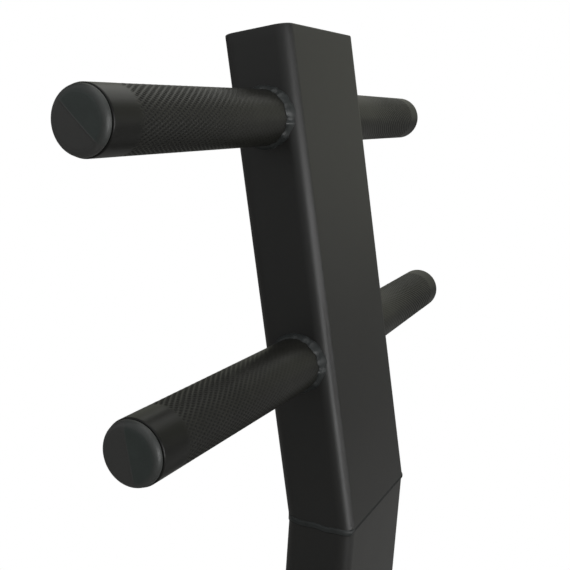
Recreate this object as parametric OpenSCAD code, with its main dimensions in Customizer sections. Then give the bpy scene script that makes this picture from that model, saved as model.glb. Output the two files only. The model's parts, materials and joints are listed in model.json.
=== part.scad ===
// Seal row bench: a high, narrow bench for rowing a barbell while lying face down.
// Millimetres. X runs along the bench from the head end to the tail, Y across it, Z up.
// The origin lies on the floor, in the middle of the whole bench.
// Left and right are those of someone lying face down with the head towards the mast: left is -Y.

/* [Frame tube] */
// Width of the frame tubes, across the bench
tube_w = 100; // [80:1:120]
// Depth of the uprights and height of the base tubes
tube_d = 60; // [50:1:80]
// Wall of the frame tubes
tube_wall = 3; // [2:0.5:4]
// Outer corner radius of the frame tubes
tube_r = 6; // [4:0.5:9]
// Thickness of the flanges and end plates
flange_t = 6; // [4:0.5:10]

/* [Heights] */
// Thickness of the rubber floor pads
floor_pad_h = 12; // [8:1:25]
// Height of the bend in the mast above the floor
bend_h = 760; // [600:5:900]
// Height of the cushion's top edge above the floor
bench_h = 900; // [820:5:1000]

/* [Mast] */
// Depth of the mast tube, along the bench
mast_d = 40; // [36:1:60]
// Lean of the mast head away from the bench, in degrees
mast_lean = 12; // [0:0.5:20]
// Length of the mast head, from the bend to its top
mast_head_len = 276; // [250:1:400]
// Thickness of the closing plate on the mast's top
top_plate_t = 3; // [2:0.5:6]
// How far the weld at the bend stands proud
bend_weld_proud = 0.8; // [0.4:0.1:2]
// Height of the weld at the bend
bend_weld_h = 3; // [2:0.5:6]
// Length of the mast's base plate across the bench
mast_plate_l = 180; // [170:1:220]
// Width of the mast's base plate along the bench
mast_plate_w = 90; // [80:1:98]
// Thickness of the mast's base plate
mast_plate_t = 8; // [6:0.5:12]
// Spacing of the mast bolts along the bench
mast_bolt_dx = 44; // [36:1:60]
// Spacing of the mast bolts across the bench
mast_bolt_dy = 144; // [134:1:156]

/* [Grips] */
// Outer diameter of the grips
grip_d = 30; // [26:0.5:34]
// Wall of the grips
grip_wall = 3; // [2:0.5:4]
// Length of each grip, from the mast's face to the plug's face
grip_len = 155; // [120:1:190]
// How far each grip leans back from square to the mast's face, in degrees
grip_sweep = 2; // [0:0.5:5]
// Place of the upper grips, along the mast head from the bend
upper_grip_at = 229; // [200:1:235]
// Place of the lower grips, along the mast head from the bend
lower_grip_at = 94; // [60:1:150]
// Leg of the weld round each grip's root
grip_weld = 3.5; // [2:0.5:4]
// Thickness of the end plug's head
grip_plug_t = 3.8; // [3.6:0.1:6]
// Rounding of the end plug's rim
grip_plug_round = 3.4; // [0.5:0.1:3.4]
// Depth of the end plug's shank in the grip
grip_plug_depth = 20; // [10:1:40]
// Width of the shadow gap between plug and grip
grip_gap = 0.6; // [0.3:0.1:2]
// Width of the tube's end that stays bare round the plug's head
grip_rim = 0.5; // [0.2:0.1:1]
// Rounding of the grip's outer edge
grip_edge = 0.4; // [0.2:0.1:1]

/* [Base] */
// Distance from the mast to the middle of the rear foot
foot_span = 1420; // [1350:5:1600]
// Length of each cross foot
foot_len = 620; // [500:5:800]
// Width of the base rail's end plates, across the bench
rail_plate_l = 180; // [170:1:220]
// Spacing of the rail bolts across the bench
rail_bolt_dy = 144; // [134:1:156]
// Spacing of the rail bolts in height
rail_bolt_dz = 26; // [22:1:30]
// Diameter of the rubber floor pads
floor_pad_d = 56; // [40:1:80]
// Distance from a foot's end to the middle of its floor pad
floor_pad_in = 50; // [42:1:100]
// How far the floor pads' rims slope in
floor_pad_slope = 3; // [1:0.5:6]

/* [Uprights] */
// Distance from the mast to the front upright
front_upright_at = 560; // [540:5:700]
// Distance from the mast to the rear upright
rear_upright_at = 1300; // [1100:5:1310]
// Length of the upright flanges, along the bench
upright_flange_l = 150; // [140:1:180]
// Spacing of the upright bolts along the bench
upright_bolt_dx = 104; // [98:1:116]
// Spacing of the upright bolts across the bench
upright_bolt_dy = 60; // [50:1:66]
// Height of the gussets at the feet of the uprights and the mast
gusset_h = 80; // [40:1:120]
// Length of those gussets
gusset_l = 38; // [20:1:39]
// Height of the top rail
top_rail_h = 40; // [30:1:60]
// How far the top rail runs past each upright
top_rail_past = 55; // [48:1:60]

/* [Pad] */
// Length of the cushion
cushion_l = 1200; // [1100:5:1220]
// Width of the cushion
cushion_w = 260; // [220:1:320]
// Thickness of the cushion at its edge
cushion_h = 60; // [40:1:90]
// Extra height of the cushion along its middle
cushion_crown = 6; // [0:0.5:12]
// How far the cushion's long sides draw in
cushion_draw = 4; // [0:0.5:8]
// Corner radius of the cushion, seen from above
cushion_corner = 45; // [25:1:80]
// Rounding of the cushion's top edge
cushion_edge = 16; // [8:1:25]
// Distance from the mast to the head end of the cushion
cushion_from_mast = 330; // [300:5:360]
// Thickness of the plywood board
board_t = 18; // [12:1:25]
// How far the board stays inside the cushion
board_in = 5; // [2:0.5:15]
// Thickness of the steel plate under the board
pad_plate_t = 5; // [4:0.5:8]
// Width of the steel plate
pad_plate_w = 190; // [180:1:200]
// How far the steel plate stays inside the cushion at each end
pad_plate_in = 45; // [30:1:80]
// Number of pad bolt pairs
pad_bolt_pairs = 4; // [3:1:6]
// Spacing of the pad bolts across the bench
pad_bolt_dy = 150; // [140:1:156]

/* [Bar catch] */
// Height of the barbell's middle in the lowest catch position
bar_low = 330; // [320:1:380]
// Pitch of the height holes
hole_pitch = 50; // [40:1:52]
// Number of height holes
hole_count = 7; // [3:1:7]
// Height of the sleeve that slides on the front upright
sleeve_h = 160; // [120:1:180]
// Wall of the sleeve
sleeve_wall = 3; // [2:0.5:5]
// Running gap between the slide bushes and the upright
bush_gap = 0.3; // [0.2:0.05:0.5]
// Thickness of the slide bushes
bush_t = 2.2; // [1.5:0.1:4]
// Height of each slide bush
bush_h = 28; // [15:1:40]
// Thickness of the slide bushes' lips
bush_lip = 3; // [2:0.5:5]
// Side of the square cross arm
arm_s = 50; // [40:1:60]
// Length of the cross arm
arm_len = 500; // [420:5:600]
// Height of the cross arm's middle over the barbell's middle
arm_up = 30; // [26:1:34]
// Distance from a cradle's middle to the end of the cross arm
cradle_in = 35; // [28:1:60]
// Width of the cradle hooks, across the bench
hook_w = 50; // [40:1:60]
// Thickness of the cradle hooks
hook_t = 6; // [4:0.5:10]
// Height of the hook's back leg over the barbell's middle
hook_back = 110; // [90:1:120]
// Height of the hook's front leg over the barbell's middle
hook_front = 38; // [25:1:60]
// Length of the hook's slanted lip
hook_lip = 16; // [8:1:25]
// Slant of the hook's lip, in degrees
hook_slant = 25; // [0:1:40]
// Width of the slot for the barbell, inside the liner
bar_slot = 36; // [34:1:44]
// Thickness of the plastic liner
liner_t = 3; // [2:0.5:6]

/* [Height lock] */
// Diameter of the lock pin's nose
pin_d = 12; // [10:0.5:14]
// Radial running gap of the lock pin
pin_gap = 0.08; // [0.05:0.01:0.1]
// How far the lock pin reaches into the upright
pin_bite = 10; // [6:0.5:11]
// Travel of the lock pin
pin_travel = 14; // [13:0.5:16]
// Diameter of the lock pin's rod
pin_rod_d = 8; // [6:0.5:9]
// Diameter of the lock pin's collar
pin_collar_d = 17; // [15:0.5:18]
// Thickness of the lock pin's collar
pin_collar_t = 3; // [2:0.5:4]
// Outer diameter of the pin housing
housing_d = 25; // [24:0.5:30]
// Bore of the spring chamber
chamber_d = 18.5; // [18.5:0.5:20]
// Wire of the spring
spring_wire = 1.2; // [0.8:0.1:1.4]
// Length that the spring has left over when the pin is pulled
spring_spare = 3.6; // [2:0.1:8]
// Number of turns of the spring
spring_turns = 7; // [5:1:8]
// Length of the guides at each end of the housing
guide_l = 7; // [5:0.5:12]
// Diameter of the pull knob
knob_d = 38; // [30:1:50]
// Length of the pull knob
knob_l = 32; // [25:1:45]
// Gap between the knob and the housing
knob_gap = 1; // [0.5:0.1:3]
// Rounding of the knob's rim
knob_round = 5; // [2:0.5:6]
// Radius of the finger hollow behind the knob's head
knob_hollow = 4; // [2:0.5:5]

/* [Wheels] */
// Diameter of the transport wheels
wheel_d = 100; // [80:1:120]
// Width of the transport wheels
wheel_w = 30; // [24:1:40]
// Gap under the wheels when the bench stands
wheel_lift = 3; // [2:0.5:6]
// Thickness of the tyre
tyre_t = 14; // [8:1:18]
// Distance from a foot's end to the middle of its wheel
wheel_in = 110; // [60:1:150]
// Gap between the wheel and the front foot
wheel_clear = 6; // [4:0.5:12]
// Diameter of the axle bolts
axle_d = 12; // [10:0.5:14]
// Radial running gap of the wheel on its axle
axle_gap = 0.08; // [0.05:0.01:0.1]
// Side play of the wheel between its lugs
wheel_play = 0.5; // [0.3:0.1:1.5]
// Thickness of the wheel's web
hub_web_t = 8; // [5:0.5:12]
// Thickness of the wheel's rim under the tyre
hub_rim_t = 4; // [3:0.5:6]
// Wall of the wheel's boss
hub_boss_t = 6; // [4:0.5:8]
// Rounding of the tyre's tread
tyre_round = 4; // [2:0.5:6]
// Thickness of the wheel lugs
lug_t = 6; // [4:0.5:8]
// Height of the wheel lugs
lug_h = 34; // [28:1:36]

/* [Lift handle] */
// Diameter of the lift handle's bar
handle_d = 20; // [16:1:25]
// Width of the lift handle between its legs' middles
handle_w = 150; // [140:1:200]
// How far the lift handle stands out from the rear foot
handle_out = 70; // [66:1:90]
// Bend radius of the lift handle
handle_bend = 30; // [25:1:40]

/* [Bolts] */
// Diameter of the frame bolts
bolt_d = 10; // [8:1:10]
// Diameter of the pad bolts
pad_bolt_d = 8; // [6:1:8]
// Radial gap round each bolt
bolt_gap = 0.5; // [0.3:0.1:1]
// Thickness of the washers
washer_t = 2; // [1:0.5:2.5]
// Gap round each plastic plug in its tube
plug_gap = 0.2; // [0.1:0.05:0.4]
// Thickness of the tube plugs' heads
plug_t = 4; // [3:0.5:6]
// Depth of the tube plugs in their tubes
plug_depth = 20; // [10:1:25]
// Wall of the tube plugs
plug_wall = 2.5; // [2:0.5:4]

/* [Hidden] */
$fn = 64;
over = 1;                // how far a cut runs past the solid that it cuts
black = "#2b2b29";       // powder coat
soft_black = "#33383a";  // moulded plastic
rubber_black = "#1d1d1d";
steel = "#b9bcbf";
vinyl = "#26262a";
ply = "#b08d5f";
red = "#8e1f1c";

// Heights from the floor up
foot_top = floor_pad_h + tube_d;
foot_mid = floor_pad_h + tube_d / 2;
post_foot = foot_top + mast_plate_t;
cushion_foot = bench_h - cushion_h;
board_foot = cushion_foot - board_t;
plate_foot = board_foot - pad_plate_t;
top_rail_foot = plate_foot - top_rail_h;
arm_z = bar_low + arm_up;

// Places along the bench, first from the mast and then from the origin
cushion_x1 = cushion_from_mast + cushion_l;
wheel_x = -tube_w / 2 - wheel_clear - wheel_d / 2;
mast_top_x = -mast_head_len * sin(mast_lean) - mast_d / 2 * cos(mast_lean);
lowest_x = min(wheel_x - wheel_d / 2, mast_top_x);
highest_x = max(foot_span + tube_w / 2 + handle_out, cushion_x1);
mast_x = -(lowest_x + highest_x) / 2;
front_x = mast_x + front_upright_at;
rear_x = mast_x + rear_upright_at;
rear_foot_x = mast_x + foot_span;
cushion_x = mast_x + cushion_from_mast + cushion_l / 2;
top_rail_x0 = front_x - tube_d / 2 - top_rail_past;
top_rail_x1 = rear_x + tube_d / 2 + top_rail_past;

// Sleeve on the front upright: a thin gap, the bush, then the sleeve's wall
bush_in_d = tube_d + 2 * bush_gap;
bush_in_w = tube_w + 2 * bush_gap;
sleeve_in_d = bush_in_d + 2 * bush_t;
sleeve_in_w = bush_in_w + 2 * bush_t;
sleeve_d = sleeve_in_d + 2 * sleeve_wall;
sleeve_w = sleeve_in_w + 2 * sleeve_wall;
sleeve_in_r = tube_r + bush_gap + bush_t;
sleeve_r = sleeve_in_r + sleeve_wall;
arm_x = front_x - sleeve_d / 2 - arm_s / 2;
cradle_y = arm_len / 2 - cradle_in;
slot_r = bar_slot / 2 + liner_t;
bar_x = arm_x - arm_s / 2 - hook_t - slot_r;

// Height lock, measured along X from the upright's rear face
pin_z = arm_z;
lock_x = front_x + tube_d / 2;
housing_x = sleeve_d / 2 - tube_d / 2;
chamber_x = housing_x + guide_l;
spring_l = spring_turns * spring_wire + spring_spare + pin_travel;
chamber_l = pin_collar_t + spring_l;
housing_end = chamber_x + chamber_l + guide_l;
knob_x = housing_end + knob_gap;
spring_r = (pin_rod_d + chamber_d) / 4;

// Grips and their plugs
grip_r = grip_d / 2;
grip_end = grip_len - grip_plug_t - grip_gap;
grip_trim = grip_r * tan(grip_sweep) + tube_r / 2;
plug_head_r = grip_r - grip_rim;

// Rectangle with round corners, as squares and true circles
module round_rect(x, y, r) {
    square([x - 2 * r, y], center = true);
    square([x, y - 2 * r], center = true);
    for (sx = [-1, 1], sy = [-1, 1])
        translate([sx * (x / 2 - r), sy * (y / 2 - r)]) circle(r);
}

// Closed bar with round corners, from z = 0 up
module round_bar(x, y, l, r) {
    linear_extrude(l) round_rect(x, y, r);
}

// Tube with round corners, from z = 0 up
module box_tube(x, y, l, wall = tube_wall, r = tube_r) {
    difference() {
        round_bar(x, y, l, r);
        translate([0, 0, -over]) round_bar(x - 2 * wall, y - 2 * wall, l + 2 * over, max(r - wall, 1));
    }
}

// Hexagonal head or nut, from z = 0 up
module hex(across, h) {
    cylinder(d = across / cos(30), h = h, $fn = 6);
}

function head_across(d) = 1.7 * d;
function head_h(d) = 0.64 * d;
function nut_h(d) = 0.8 * d;

// Bolt with its washer and head above z = 0 and its shank below
module bolt(d, shank) {
    cylinder(r = d, h = washer_t);
    translate([0, 0, washer_t]) hex(head_across(d), head_h(d));
    translate([0, 0, -shank]) cylinder(d = d, h = shank + washer_t);
}

// Bolt through a stack, with its nut behind the stack
module bolt_and_nut(d, stack) {
    bolt(d, stack + nut_h(d) + 3);
    translate([0, 0, -stack - nut_h(d)]) difference() {
        hex(head_across(d), nut_h(d));
        translate([0, 0, -over]) cylinder(d = d, h = nut_h(d) + 2 * over);
    }
}

// Copies its children at the four corners of a rectangle
module at_corners(dx, dy) {
    for (sx = [-1, 1], sy = [-1, 1]) translate([sx * dx / 2, sy * dy / 2, 0]) children();
}

// Holes for four bolts, cut up and down through z = 0
module bolt_holes(dx, dy, depth) {
    at_corners(dx, dy) translate([0, 0, -depth]) cylinder(d = bolt_d + 2 * bolt_gap, h = 2 * depth);
}

// Plastic plug for a tube end, with its head above z = 0
module tube_plug(x, y, wall = tube_wall, r = tube_r) {
    in_x = x - 2 * wall - 2 * plug_gap;
    in_y = y - 2 * wall - 2 * plug_gap;
    in_r = max(r - wall - plug_gap, 1);
    round_bar(x, y, plug_t, r);
    difference() {
        translate([0, 0, -plug_depth]) round_bar(in_x, in_y, plug_depth, in_r);
        translate([0, 0, -plug_depth - over])
            cube([in_x - 2 * plug_wall, in_y - 2 * plug_wall, 2 * plug_depth], center = true);
    }
}

// Turns a shape drawn from z = 0 up so that it runs towards +X or +Y
module along_x() {
    rotate([0, 90, 0]) children();
}
module along_y() {
    rotate([-90, 0, 0]) children();
}

// Base

// Foot tube across the bench, with the holes of the rail's bolts in its inner wall
module foot(x, inner_side) {
    difference() {
        translate([x, -foot_len / 2, foot_mid]) along_y() box_tube(tube_w, tube_d, foot_len);
        translate([x + inner_side * tube_w / 2, 0, foot_mid])
            along_x() bolt_holes(rail_bolt_dz, rail_bolt_dy, tube_wall + over);
    }
}

module front_foot() color(black) difference() {
    foot(mast_x, 1);
    translate([mast_x, 0, foot_top]) bolt_holes(mast_bolt_dx, mast_bolt_dy, tube_wall + over);
}

module rear_foot() color(black) foot(rear_foot_x, -1);

module foot_caps(x) color(soft_black)
    for (s = [0, 1]) mirror([0, s, 0])
        translate([x, foot_len / 2, foot_mid]) along_y() tube_plug(tube_w, tube_d);

module front_foot_caps() foot_caps(mast_x);
module rear_foot_caps() foot_caps(rear_foot_x);

// Rubber disc with a sloping rim and a washer seat in its underside
module floor_pad() difference() {
    rotate_extrude() polygon([
        [0, 0], [floor_pad_d / 2, 0], [floor_pad_d / 2, floor_pad_h / 3],
        [floor_pad_d / 2 - floor_pad_slope, floor_pad_h], [0, floor_pad_h],
    ]);
    translate([0, 0, -over]) cylinder(d = floor_pad_d / 3, h = floor_pad_h / 2 + over);
}

module floor_pads(x) color(rubber_black)
    for (s = [-1, 1]) translate([x, s * (foot_len / 2 - floor_pad_in), 0]) floor_pad();

module front_floor_pads() floor_pads(mast_x);
module rear_floor_pads() floor_pads(rear_foot_x);

// Ends of the base rail with its end plates, where it meets the feet
rail_x0 = mast_x + tube_w / 2;
rail_x1 = rear_foot_x - tube_w / 2;

module base_rail() color(black) difference() {
    translate([rail_x0 + flange_t, 0, foot_mid]) along_x()
        box_tube(tube_d, tube_w, rail_x1 - rail_x0 - 2 * flange_t);
    for (x = [front_x, rear_x])
        translate([x, 0, foot_top]) bolt_holes(upright_bolt_dx, upright_bolt_dy, tube_wall + over);
}

module rail_end_plates() color(black)
    for (x = [rail_x0, rail_x1 - flange_t]) translate([x, 0, foot_mid]) along_x() difference() {
        round_bar(tube_d, rail_plate_l, flange_t, tube_r);
        bolt_holes(rail_bolt_dz, rail_bolt_dy, flange_t + over);
    }

module rail_bolts() color(steel)
    for (end = [[rail_x0 + flange_t, 1], [rail_x1 - flange_t, -1]])
        translate([end[0], 0, foot_mid]) scale([end[1], 1, 1]) along_x()
            at_corners(rail_bolt_dz, rail_bolt_dy) bolt_and_nut(bolt_d, flange_t + tube_wall);

// Mast

// Puts its children on the mast head's own axis, with z = 0 at the bend
module on_mast_head() {
    translate([mast_x, 0, bend_h]) rotate([0, -mast_lean, 0]) children();
}

// Half space above the bend
module above_bend() {
    translate([mast_x, 0, bend_h + mast_head_len]) cube([4 * tube_w, 4 * tube_w, 2 * mast_head_len], center = true);
}

// Outer form of the mast head, from well under the bend up to its top
module mast_head_bar(top = mast_head_len) {
    on_mast_head() translate([0, 0, -tube_w]) round_bar(mast_d, tube_w, tube_w + top, tube_r);
}

module mast_base_plate() color(black) difference() {
    translate([mast_x, 0, foot_top]) round_bar(mast_plate_w, mast_plate_l, mast_plate_t, tube_r);
    translate([mast_x, 0, foot_top]) bolt_holes(mast_bolt_dx, mast_bolt_dy, mast_plate_t + over);
}

module mast_bolts() color(steel) translate([mast_x, 0, post_foot])
    at_corners(mast_bolt_dx, mast_bolt_dy) bolt_and_nut(bolt_d, mast_plate_t + tube_wall);

module mast_post() color(black)
    translate([mast_x, 0, post_foot]) box_tube(mast_d, tube_w, bend_h - post_foot);

module mast_gussets() color(black)
    for (a = [90, -90]) translate([mast_x, 0, post_foot]) rotate([0, 0, a]) translate([tube_w / 2, 0, 0]) gusset();

module mast_head() color(black) intersection() {
    above_bend();
    on_mast_head() translate([0, 0, -tube_w])
        box_tube(mast_d, tube_w, tube_w + mast_head_len - top_plate_t);
}

module mast_top_plate() color(black)
    on_mast_head() translate([0, 0, mast_head_len - top_plate_t])
        round_bar(mast_d, tube_w, top_plate_t, tube_r);

// Bead round the joint of the two mast tubes
module bend_weld() color(black) difference() {
    proud = 2 * bend_weld_proud;
    translate([mast_x, 0, bend_h - bend_weld_h / 2])
        round_bar(mast_d / cos(mast_lean) + proud, tube_w + proud, bend_weld_h, tube_r + bend_weld_proud);
    translate([mast_x, 0, 0]) round_bar(mast_d, tube_w, bend_h, tube_r);
    intersection() {
        above_bend();
        mast_head_bar();
    }
}

// Grips

// Puts its children on a grip's axis, running outwards from the mast's narrow face
module on_grip(at, side) {
    on_mast_head() translate([0, 0, at]) mirror([0, side < 0 ? 1 : 0, 0])
        translate([0, tube_w / 2, 0]) rotate([0, 0, grip_sweep]) along_y() children();
}

// Tube that starts under the mast's face and is cut off at it
module grip(at, side) color(black) difference() {
    on_grip(at, side) rotate_extrude() translate([0, -grip_trim]) {
        square([grip_r, grip_end + grip_trim - grip_edge]);
        square([grip_r - grip_edge, grip_end + grip_trim]);
        translate([grip_r - grip_edge, grip_end + grip_trim - grip_edge]) circle(grip_edge);
    }
    on_grip(at, side) translate([0, 0, -grip_trim - over])
        cylinder(d = grip_d - 2 * grip_wall, h = grip_end + grip_trim + 2 * over);
    mast_head_bar(mast_head_len + over);
}

// Plug with a round-edged head, a shadow gap and a shank in the grip
module grip_plug(at, side) color(soft_black) on_grip(at, side) translate([0, 0, grip_end]) {
    rotate_extrude() translate([0, grip_gap]) {
        square([plug_head_r, grip_plug_t - grip_plug_round]);
        square([plug_head_r - grip_plug_round, grip_plug_t]);
        intersection() {
            translate([plug_head_r - grip_plug_round, grip_plug_t - grip_plug_round]) circle(grip_plug_round);
            square([plug_head_r, grip_plug_t]);
        }
    }
    cylinder(r = grip_r - grip_wall / 2, h = grip_gap);
    translate([0, 0, -grip_plug_depth])
        cylinder(r = grip_r - grip_wall - plug_gap, h = grip_plug_depth);
}

// Fillet weld round a grip's root, which follows the mast's round corners
module grip_weld_ring(at, side) difference() {
    on_grip(at, side) rotate_extrude() polygon([
        [grip_r, -tube_r], [grip_r + grip_weld, -tube_r],
        [grip_r + grip_weld, 0], [grip_r + grip_weld * 0.6, grip_weld * 0.6],
        [grip_r, grip_weld],
    ]);
    mast_head_bar(mast_head_len + over);
}

module upper_left_grip() grip(upper_grip_at, -1);
module upper_right_grip() grip(upper_grip_at, 1);
module lower_left_grip() grip(lower_grip_at, -1);
module lower_right_grip() grip(lower_grip_at, 1);
module upper_left_plug() grip_plug(upper_grip_at, -1);
module upper_right_plug() grip_plug(upper_grip_at, 1);
module lower_left_plug() grip_plug(lower_grip_at, -1);
module lower_right_plug() grip_plug(lower_grip_at, 1);
module upper_grip_welds() color(black) for (s = [-1, 1]) grip_weld_ring(upper_grip_at, s);
module lower_grip_welds() color(black) for (s = [-1, 1]) grip_weld_ring(lower_grip_at, s);

// Uprights and top rail

// Tube with a bolted flange at its foot and at its head
module upright(x) {
    translate([x, 0, foot_top]) {
        difference() {
            round_bar(upright_flange_l, tube_w, flange_t, tube_r);
            bolt_holes(upright_bolt_dx, upright_bolt_dy, flange_t + over);
        }
        translate([0, 0, flange_t]) box_tube(tube_d, tube_w, top_rail_foot - foot_top - 2 * flange_t);
    }
    translate([x, 0, top_rail_foot - flange_t]) difference() {
        round_bar(upright_flange_l, tube_w, flange_t, tube_r);
        bolt_holes(upright_bolt_dx, upright_bolt_dy, flange_t + over);
    }
}

module front_upright() color(black) difference() {
    upright(front_x);
    for (i = [0 : hole_count - 1])
        translate([lock_x - tube_wall - over, 0, pin_z + i * hole_pitch])
            along_x() cylinder(r = pin_d / 2 + pin_gap, h = tube_wall + 2 * over);
}

module rear_upright() color(black) upright(rear_x);

// Triangular plate with its corner at the origin, standing in X and Z
module gusset() {
    blunt = flange_t;
    translate([0, flange_t / 2, 0]) rotate([90, 0, 0]) linear_extrude(flange_t)
        polygon([[0, 0], [gusset_l, 0], [gusset_l, blunt], [blunt, gusset_h], [0, gusset_h]]);
}

module upright_gussets() color(black)
    for (x = [front_x, rear_x], s = [0, 1])
        translate([x, 0, foot_top + flange_t]) mirror([s, 0, 0]) translate([tube_d / 2, 0, 0]) gusset();

module upright_foot_bolts() color(steel)
    for (x = [front_x, rear_x]) translate([x, 0, foot_top + flange_t])
        at_corners(upright_bolt_dx, upright_bolt_dy) bolt_and_nut(bolt_d, flange_t + tube_wall);

module upright_head_bolts() color(steel)
    for (x = [front_x, rear_x]) translate([x, 0, top_rail_foot - flange_t]) mirror([0, 0, 1])
        at_corners(upright_bolt_dx, upright_bolt_dy) bolt_and_nut(bolt_d, flange_t + tube_wall);

module top_rail() color(black) difference() {
    translate([top_rail_x0, 0, top_rail_foot + top_rail_h / 2]) along_x()
        box_tube(top_rail_h, tube_w, top_rail_x1 - top_rail_x0);
    for (x = [front_x, rear_x])
        translate([x, 0, top_rail_foot]) bolt_holes(upright_bolt_dx, upright_bolt_dy, tube_wall + over);
}

module top_rail_caps() color(soft_black)
    for (end = [[top_rail_x0, -1], [top_rail_x1, 1]])
        translate([end[0], 0, top_rail_foot + top_rail_h / 2]) scale([end[1], 1, 1]) along_x()
            tube_plug(top_rail_h, tube_w);

// Pad

// Copies its children at the pad bolts
module at_pad_bolts() {
    reach = cushion_l - 2 * pad_plate_in - 4 * pad_bolt_d;
    for (i = [0 : pad_bolt_pairs - 1], s = [-1, 1])
        translate([cushion_x + (i / (pad_bolt_pairs - 1) - 0.5) * reach, s * pad_bolt_dy / 2, 0])
            children();
}

module pad_plate() color(black) difference() {
    translate([cushion_x, 0, plate_foot])
        round_bar(cushion_l - 2 * pad_plate_in, pad_plate_w, pad_plate_t, 2 * pad_bolt_d);
    at_pad_bolts() translate([0, 0, plate_foot - over])
        cylinder(d = pad_bolt_d + 2 * bolt_gap, h = pad_plate_t + 2 * over);
}

module pad_board() color(ply) difference() {
    translate([cushion_x, 0, board_foot])
        round_bar(cushion_l - 2 * board_in, cushion_w - 2 * board_in, board_t, cushion_corner - board_in);
    at_pad_bolts() translate([0, 0, board_foot - over])
        cylinder(d = pad_bolt_d + 2 * plug_gap, h = board_t * 0.8 + over);
}

module pad_bolts() color(steel) at_pad_bolts()
    translate([0, 0, plate_foot]) mirror([0, 0, 1]) bolt(pad_bolt_d, pad_plate_t + board_t * 0.7);

// Cushion: cross sections along the bench, each a flat base, two sides and a crowned top
cushion_ends = 7;
cushion_runs = 10;
cushion_arc = 5;
cushion_top = 8;
function ramp(n) = [for (i = [0 : n]) i / n];
cushion_stations = concat(
    [for (t = ramp(cushion_ends)) -cushion_l / 2 + cushion_corner * (1 - cos(90 * t))],
    [for (i = [1 : cushion_runs - 1]) -cushion_l / 2 + cushion_corner
        + (cushion_l - 2 * cushion_corner) * i / cushion_runs],
    [for (t = ramp(cushion_ends)) cushion_l / 2 - cushion_corner * (1 - sin(90 * t))]
);
// Distance that a station lies inside the round end of radius r
function past(x, r) = max(0, abs(x) - cushion_l / 2 + r);
function round_drop(x, r) = r - sqrt(max(0, r * r - past(x, r) * past(x, r)));
function half_width(x) = cushion_w / 2 - round_drop(x, cushion_corner)
    - cushion_draw * (1 - pow(2 * x / cushion_l, 2));
function edge_top(x) = cushion_h - round_drop(x, cushion_edge);
function crown(x, y) = cushion_crown * (1 - pow(2 * x / cushion_l, 4)) * (1 - pow(y, 2));
function cushion_section(x) = let (b = half_width(x), h = edge_top(x), e = cushion_edge) concat(
    [for (t = [-1, -0.5, 0, 0.5, 1]) [x, t * b, 0]],
    [for (t = ramp(cushion_arc)) [x, b - e * (1 - cos(90 * t)), h - e * (1 - sin(90 * t))]],
    [for (i = [1 : cushion_top - 1]) let (y = 1 - 2 * i / cushion_top)
        [x, y * (b - e), h + crown(x, y)]],
    [for (t = ramp(cushion_arc)) [x, -b + e * (1 - sin(90 * t)), h - e * (1 - cos(90 * t))]]
);

module cushion() color(vinyl) {
    rings = [for (x = cushion_stations) cushion_section(x)];
    n = len(rings[0]);
    last = len(rings) - 1;
    mid = cushion_h / 2;
    points = concat([for (ring = rings) each ring],
        [[rings[0][0][0], 0, mid], [rings[last][0][0], 0, mid]]);
    sides = [for (k = [0 : last - 1], i = [0 : n - 1]) let (j = (i + 1) % n)
        each [[k * n + i, k * n + j, (k + 1) * n + j], [k * n + i, (k + 1) * n + j, (k + 1) * n + i]]];
    ends = [for (i = [0 : n - 1]) let (j = (i + 1) % n)
        each [[(last + 1) * n, j, i], [(last + 1) * n + 1, last * n + i, last * n + j]]];
    translate([cushion_x, 0, cushion_foot]) polyhedron(points, concat(sides, ends));
}

// Bar catch carriage

module carriage_sleeve() color(black) translate([front_x, 0, arm_z - sleeve_h / 2]) difference() {
    box_tube(sleeve_d, sleeve_w, sleeve_h, sleeve_wall, sleeve_r);
    translate([0, 0, sleeve_h / 2]) along_x() cylinder(r = pin_d / 2 + pin_gap, h = sleeve_d);
}

module slide_bushes() color(soft_black)
    for (s = [0, 1]) translate([front_x, 0, arm_z]) mirror([0, 0, s]) translate([0, 0, sleeve_h / 2]) {
        translate([0, 0, -bush_h]) box_tube(sleeve_in_d, sleeve_in_w, bush_h, bush_t, sleeve_in_r);
        box_tube(sleeve_d, sleeve_w, bush_lip, bush_t + sleeve_wall, sleeve_r);
    }

module cross_arm() color(black)
    translate([arm_x, -arm_len / 2, arm_z]) along_y() box_tube(arm_s, arm_s, arm_len);

module cross_arm_caps() color(soft_black)
    for (s = [0, 1]) mirror([0, s, 0])
        translate([arm_x, arm_len / 2, arm_z]) along_y() tube_plug(arm_s, arm_s);

// J outline in X and Z round the barbell's middle: outer radius r, thickness t
module hook_outline(r, t, back, front, lip) {
    intersection() {
        difference() {
            circle(r);
            circle(r - t);
        }
        translate([-r - over, -r - over]) square([2 * (r + over), r + over]);
    }
    translate([r - t, 0]) square([t, back]);
    translate([-r, 0]) square([t, front]);
    out = lip * sin(hook_slant);
    up = lip * cos(hook_slant);
    translate([-r, front]) polygon([[0, 0], [t, 0], [t - out, up], [-out, up]]);
}

// Extrudes a J outline across the bench, with round corners on its legs' ends
module hook_solid(side, r, t, back, front, lip, w) {
    translate([bar_x, side * cradle_y, bar_low]) intersection() {
        translate([0, w / 2, 0]) rotate([90, 0, 0]) linear_extrude(w) hook_outline(r, t, back, front, lip);
        union() {
            translate([-2 * r, 0, 0]) along_x() scale([-1, 1, 1]) linear_extrude(2 * r)
                translate([(front + lip) / 2 - r, 0]) round_rect(front + lip + 2 * r, w, w / 5);
            along_x() scale([-1, 1, 1]) linear_extrude(2 * r)
                translate([back / 2 - r, 0]) round_rect(back + 2 * r, w, w / 5);
        }
    }
}

module hook(side) color(black)
    hook_solid(side, slot_r + hook_t, hook_t, hook_back, hook_front, hook_lip, hook_w);
module hook_liner(side) color(red)
    hook_solid(side, slot_r, liner_t, hook_back - hook_t, hook_front, hook_lip - liner_t, hook_w - hook_t);

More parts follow.
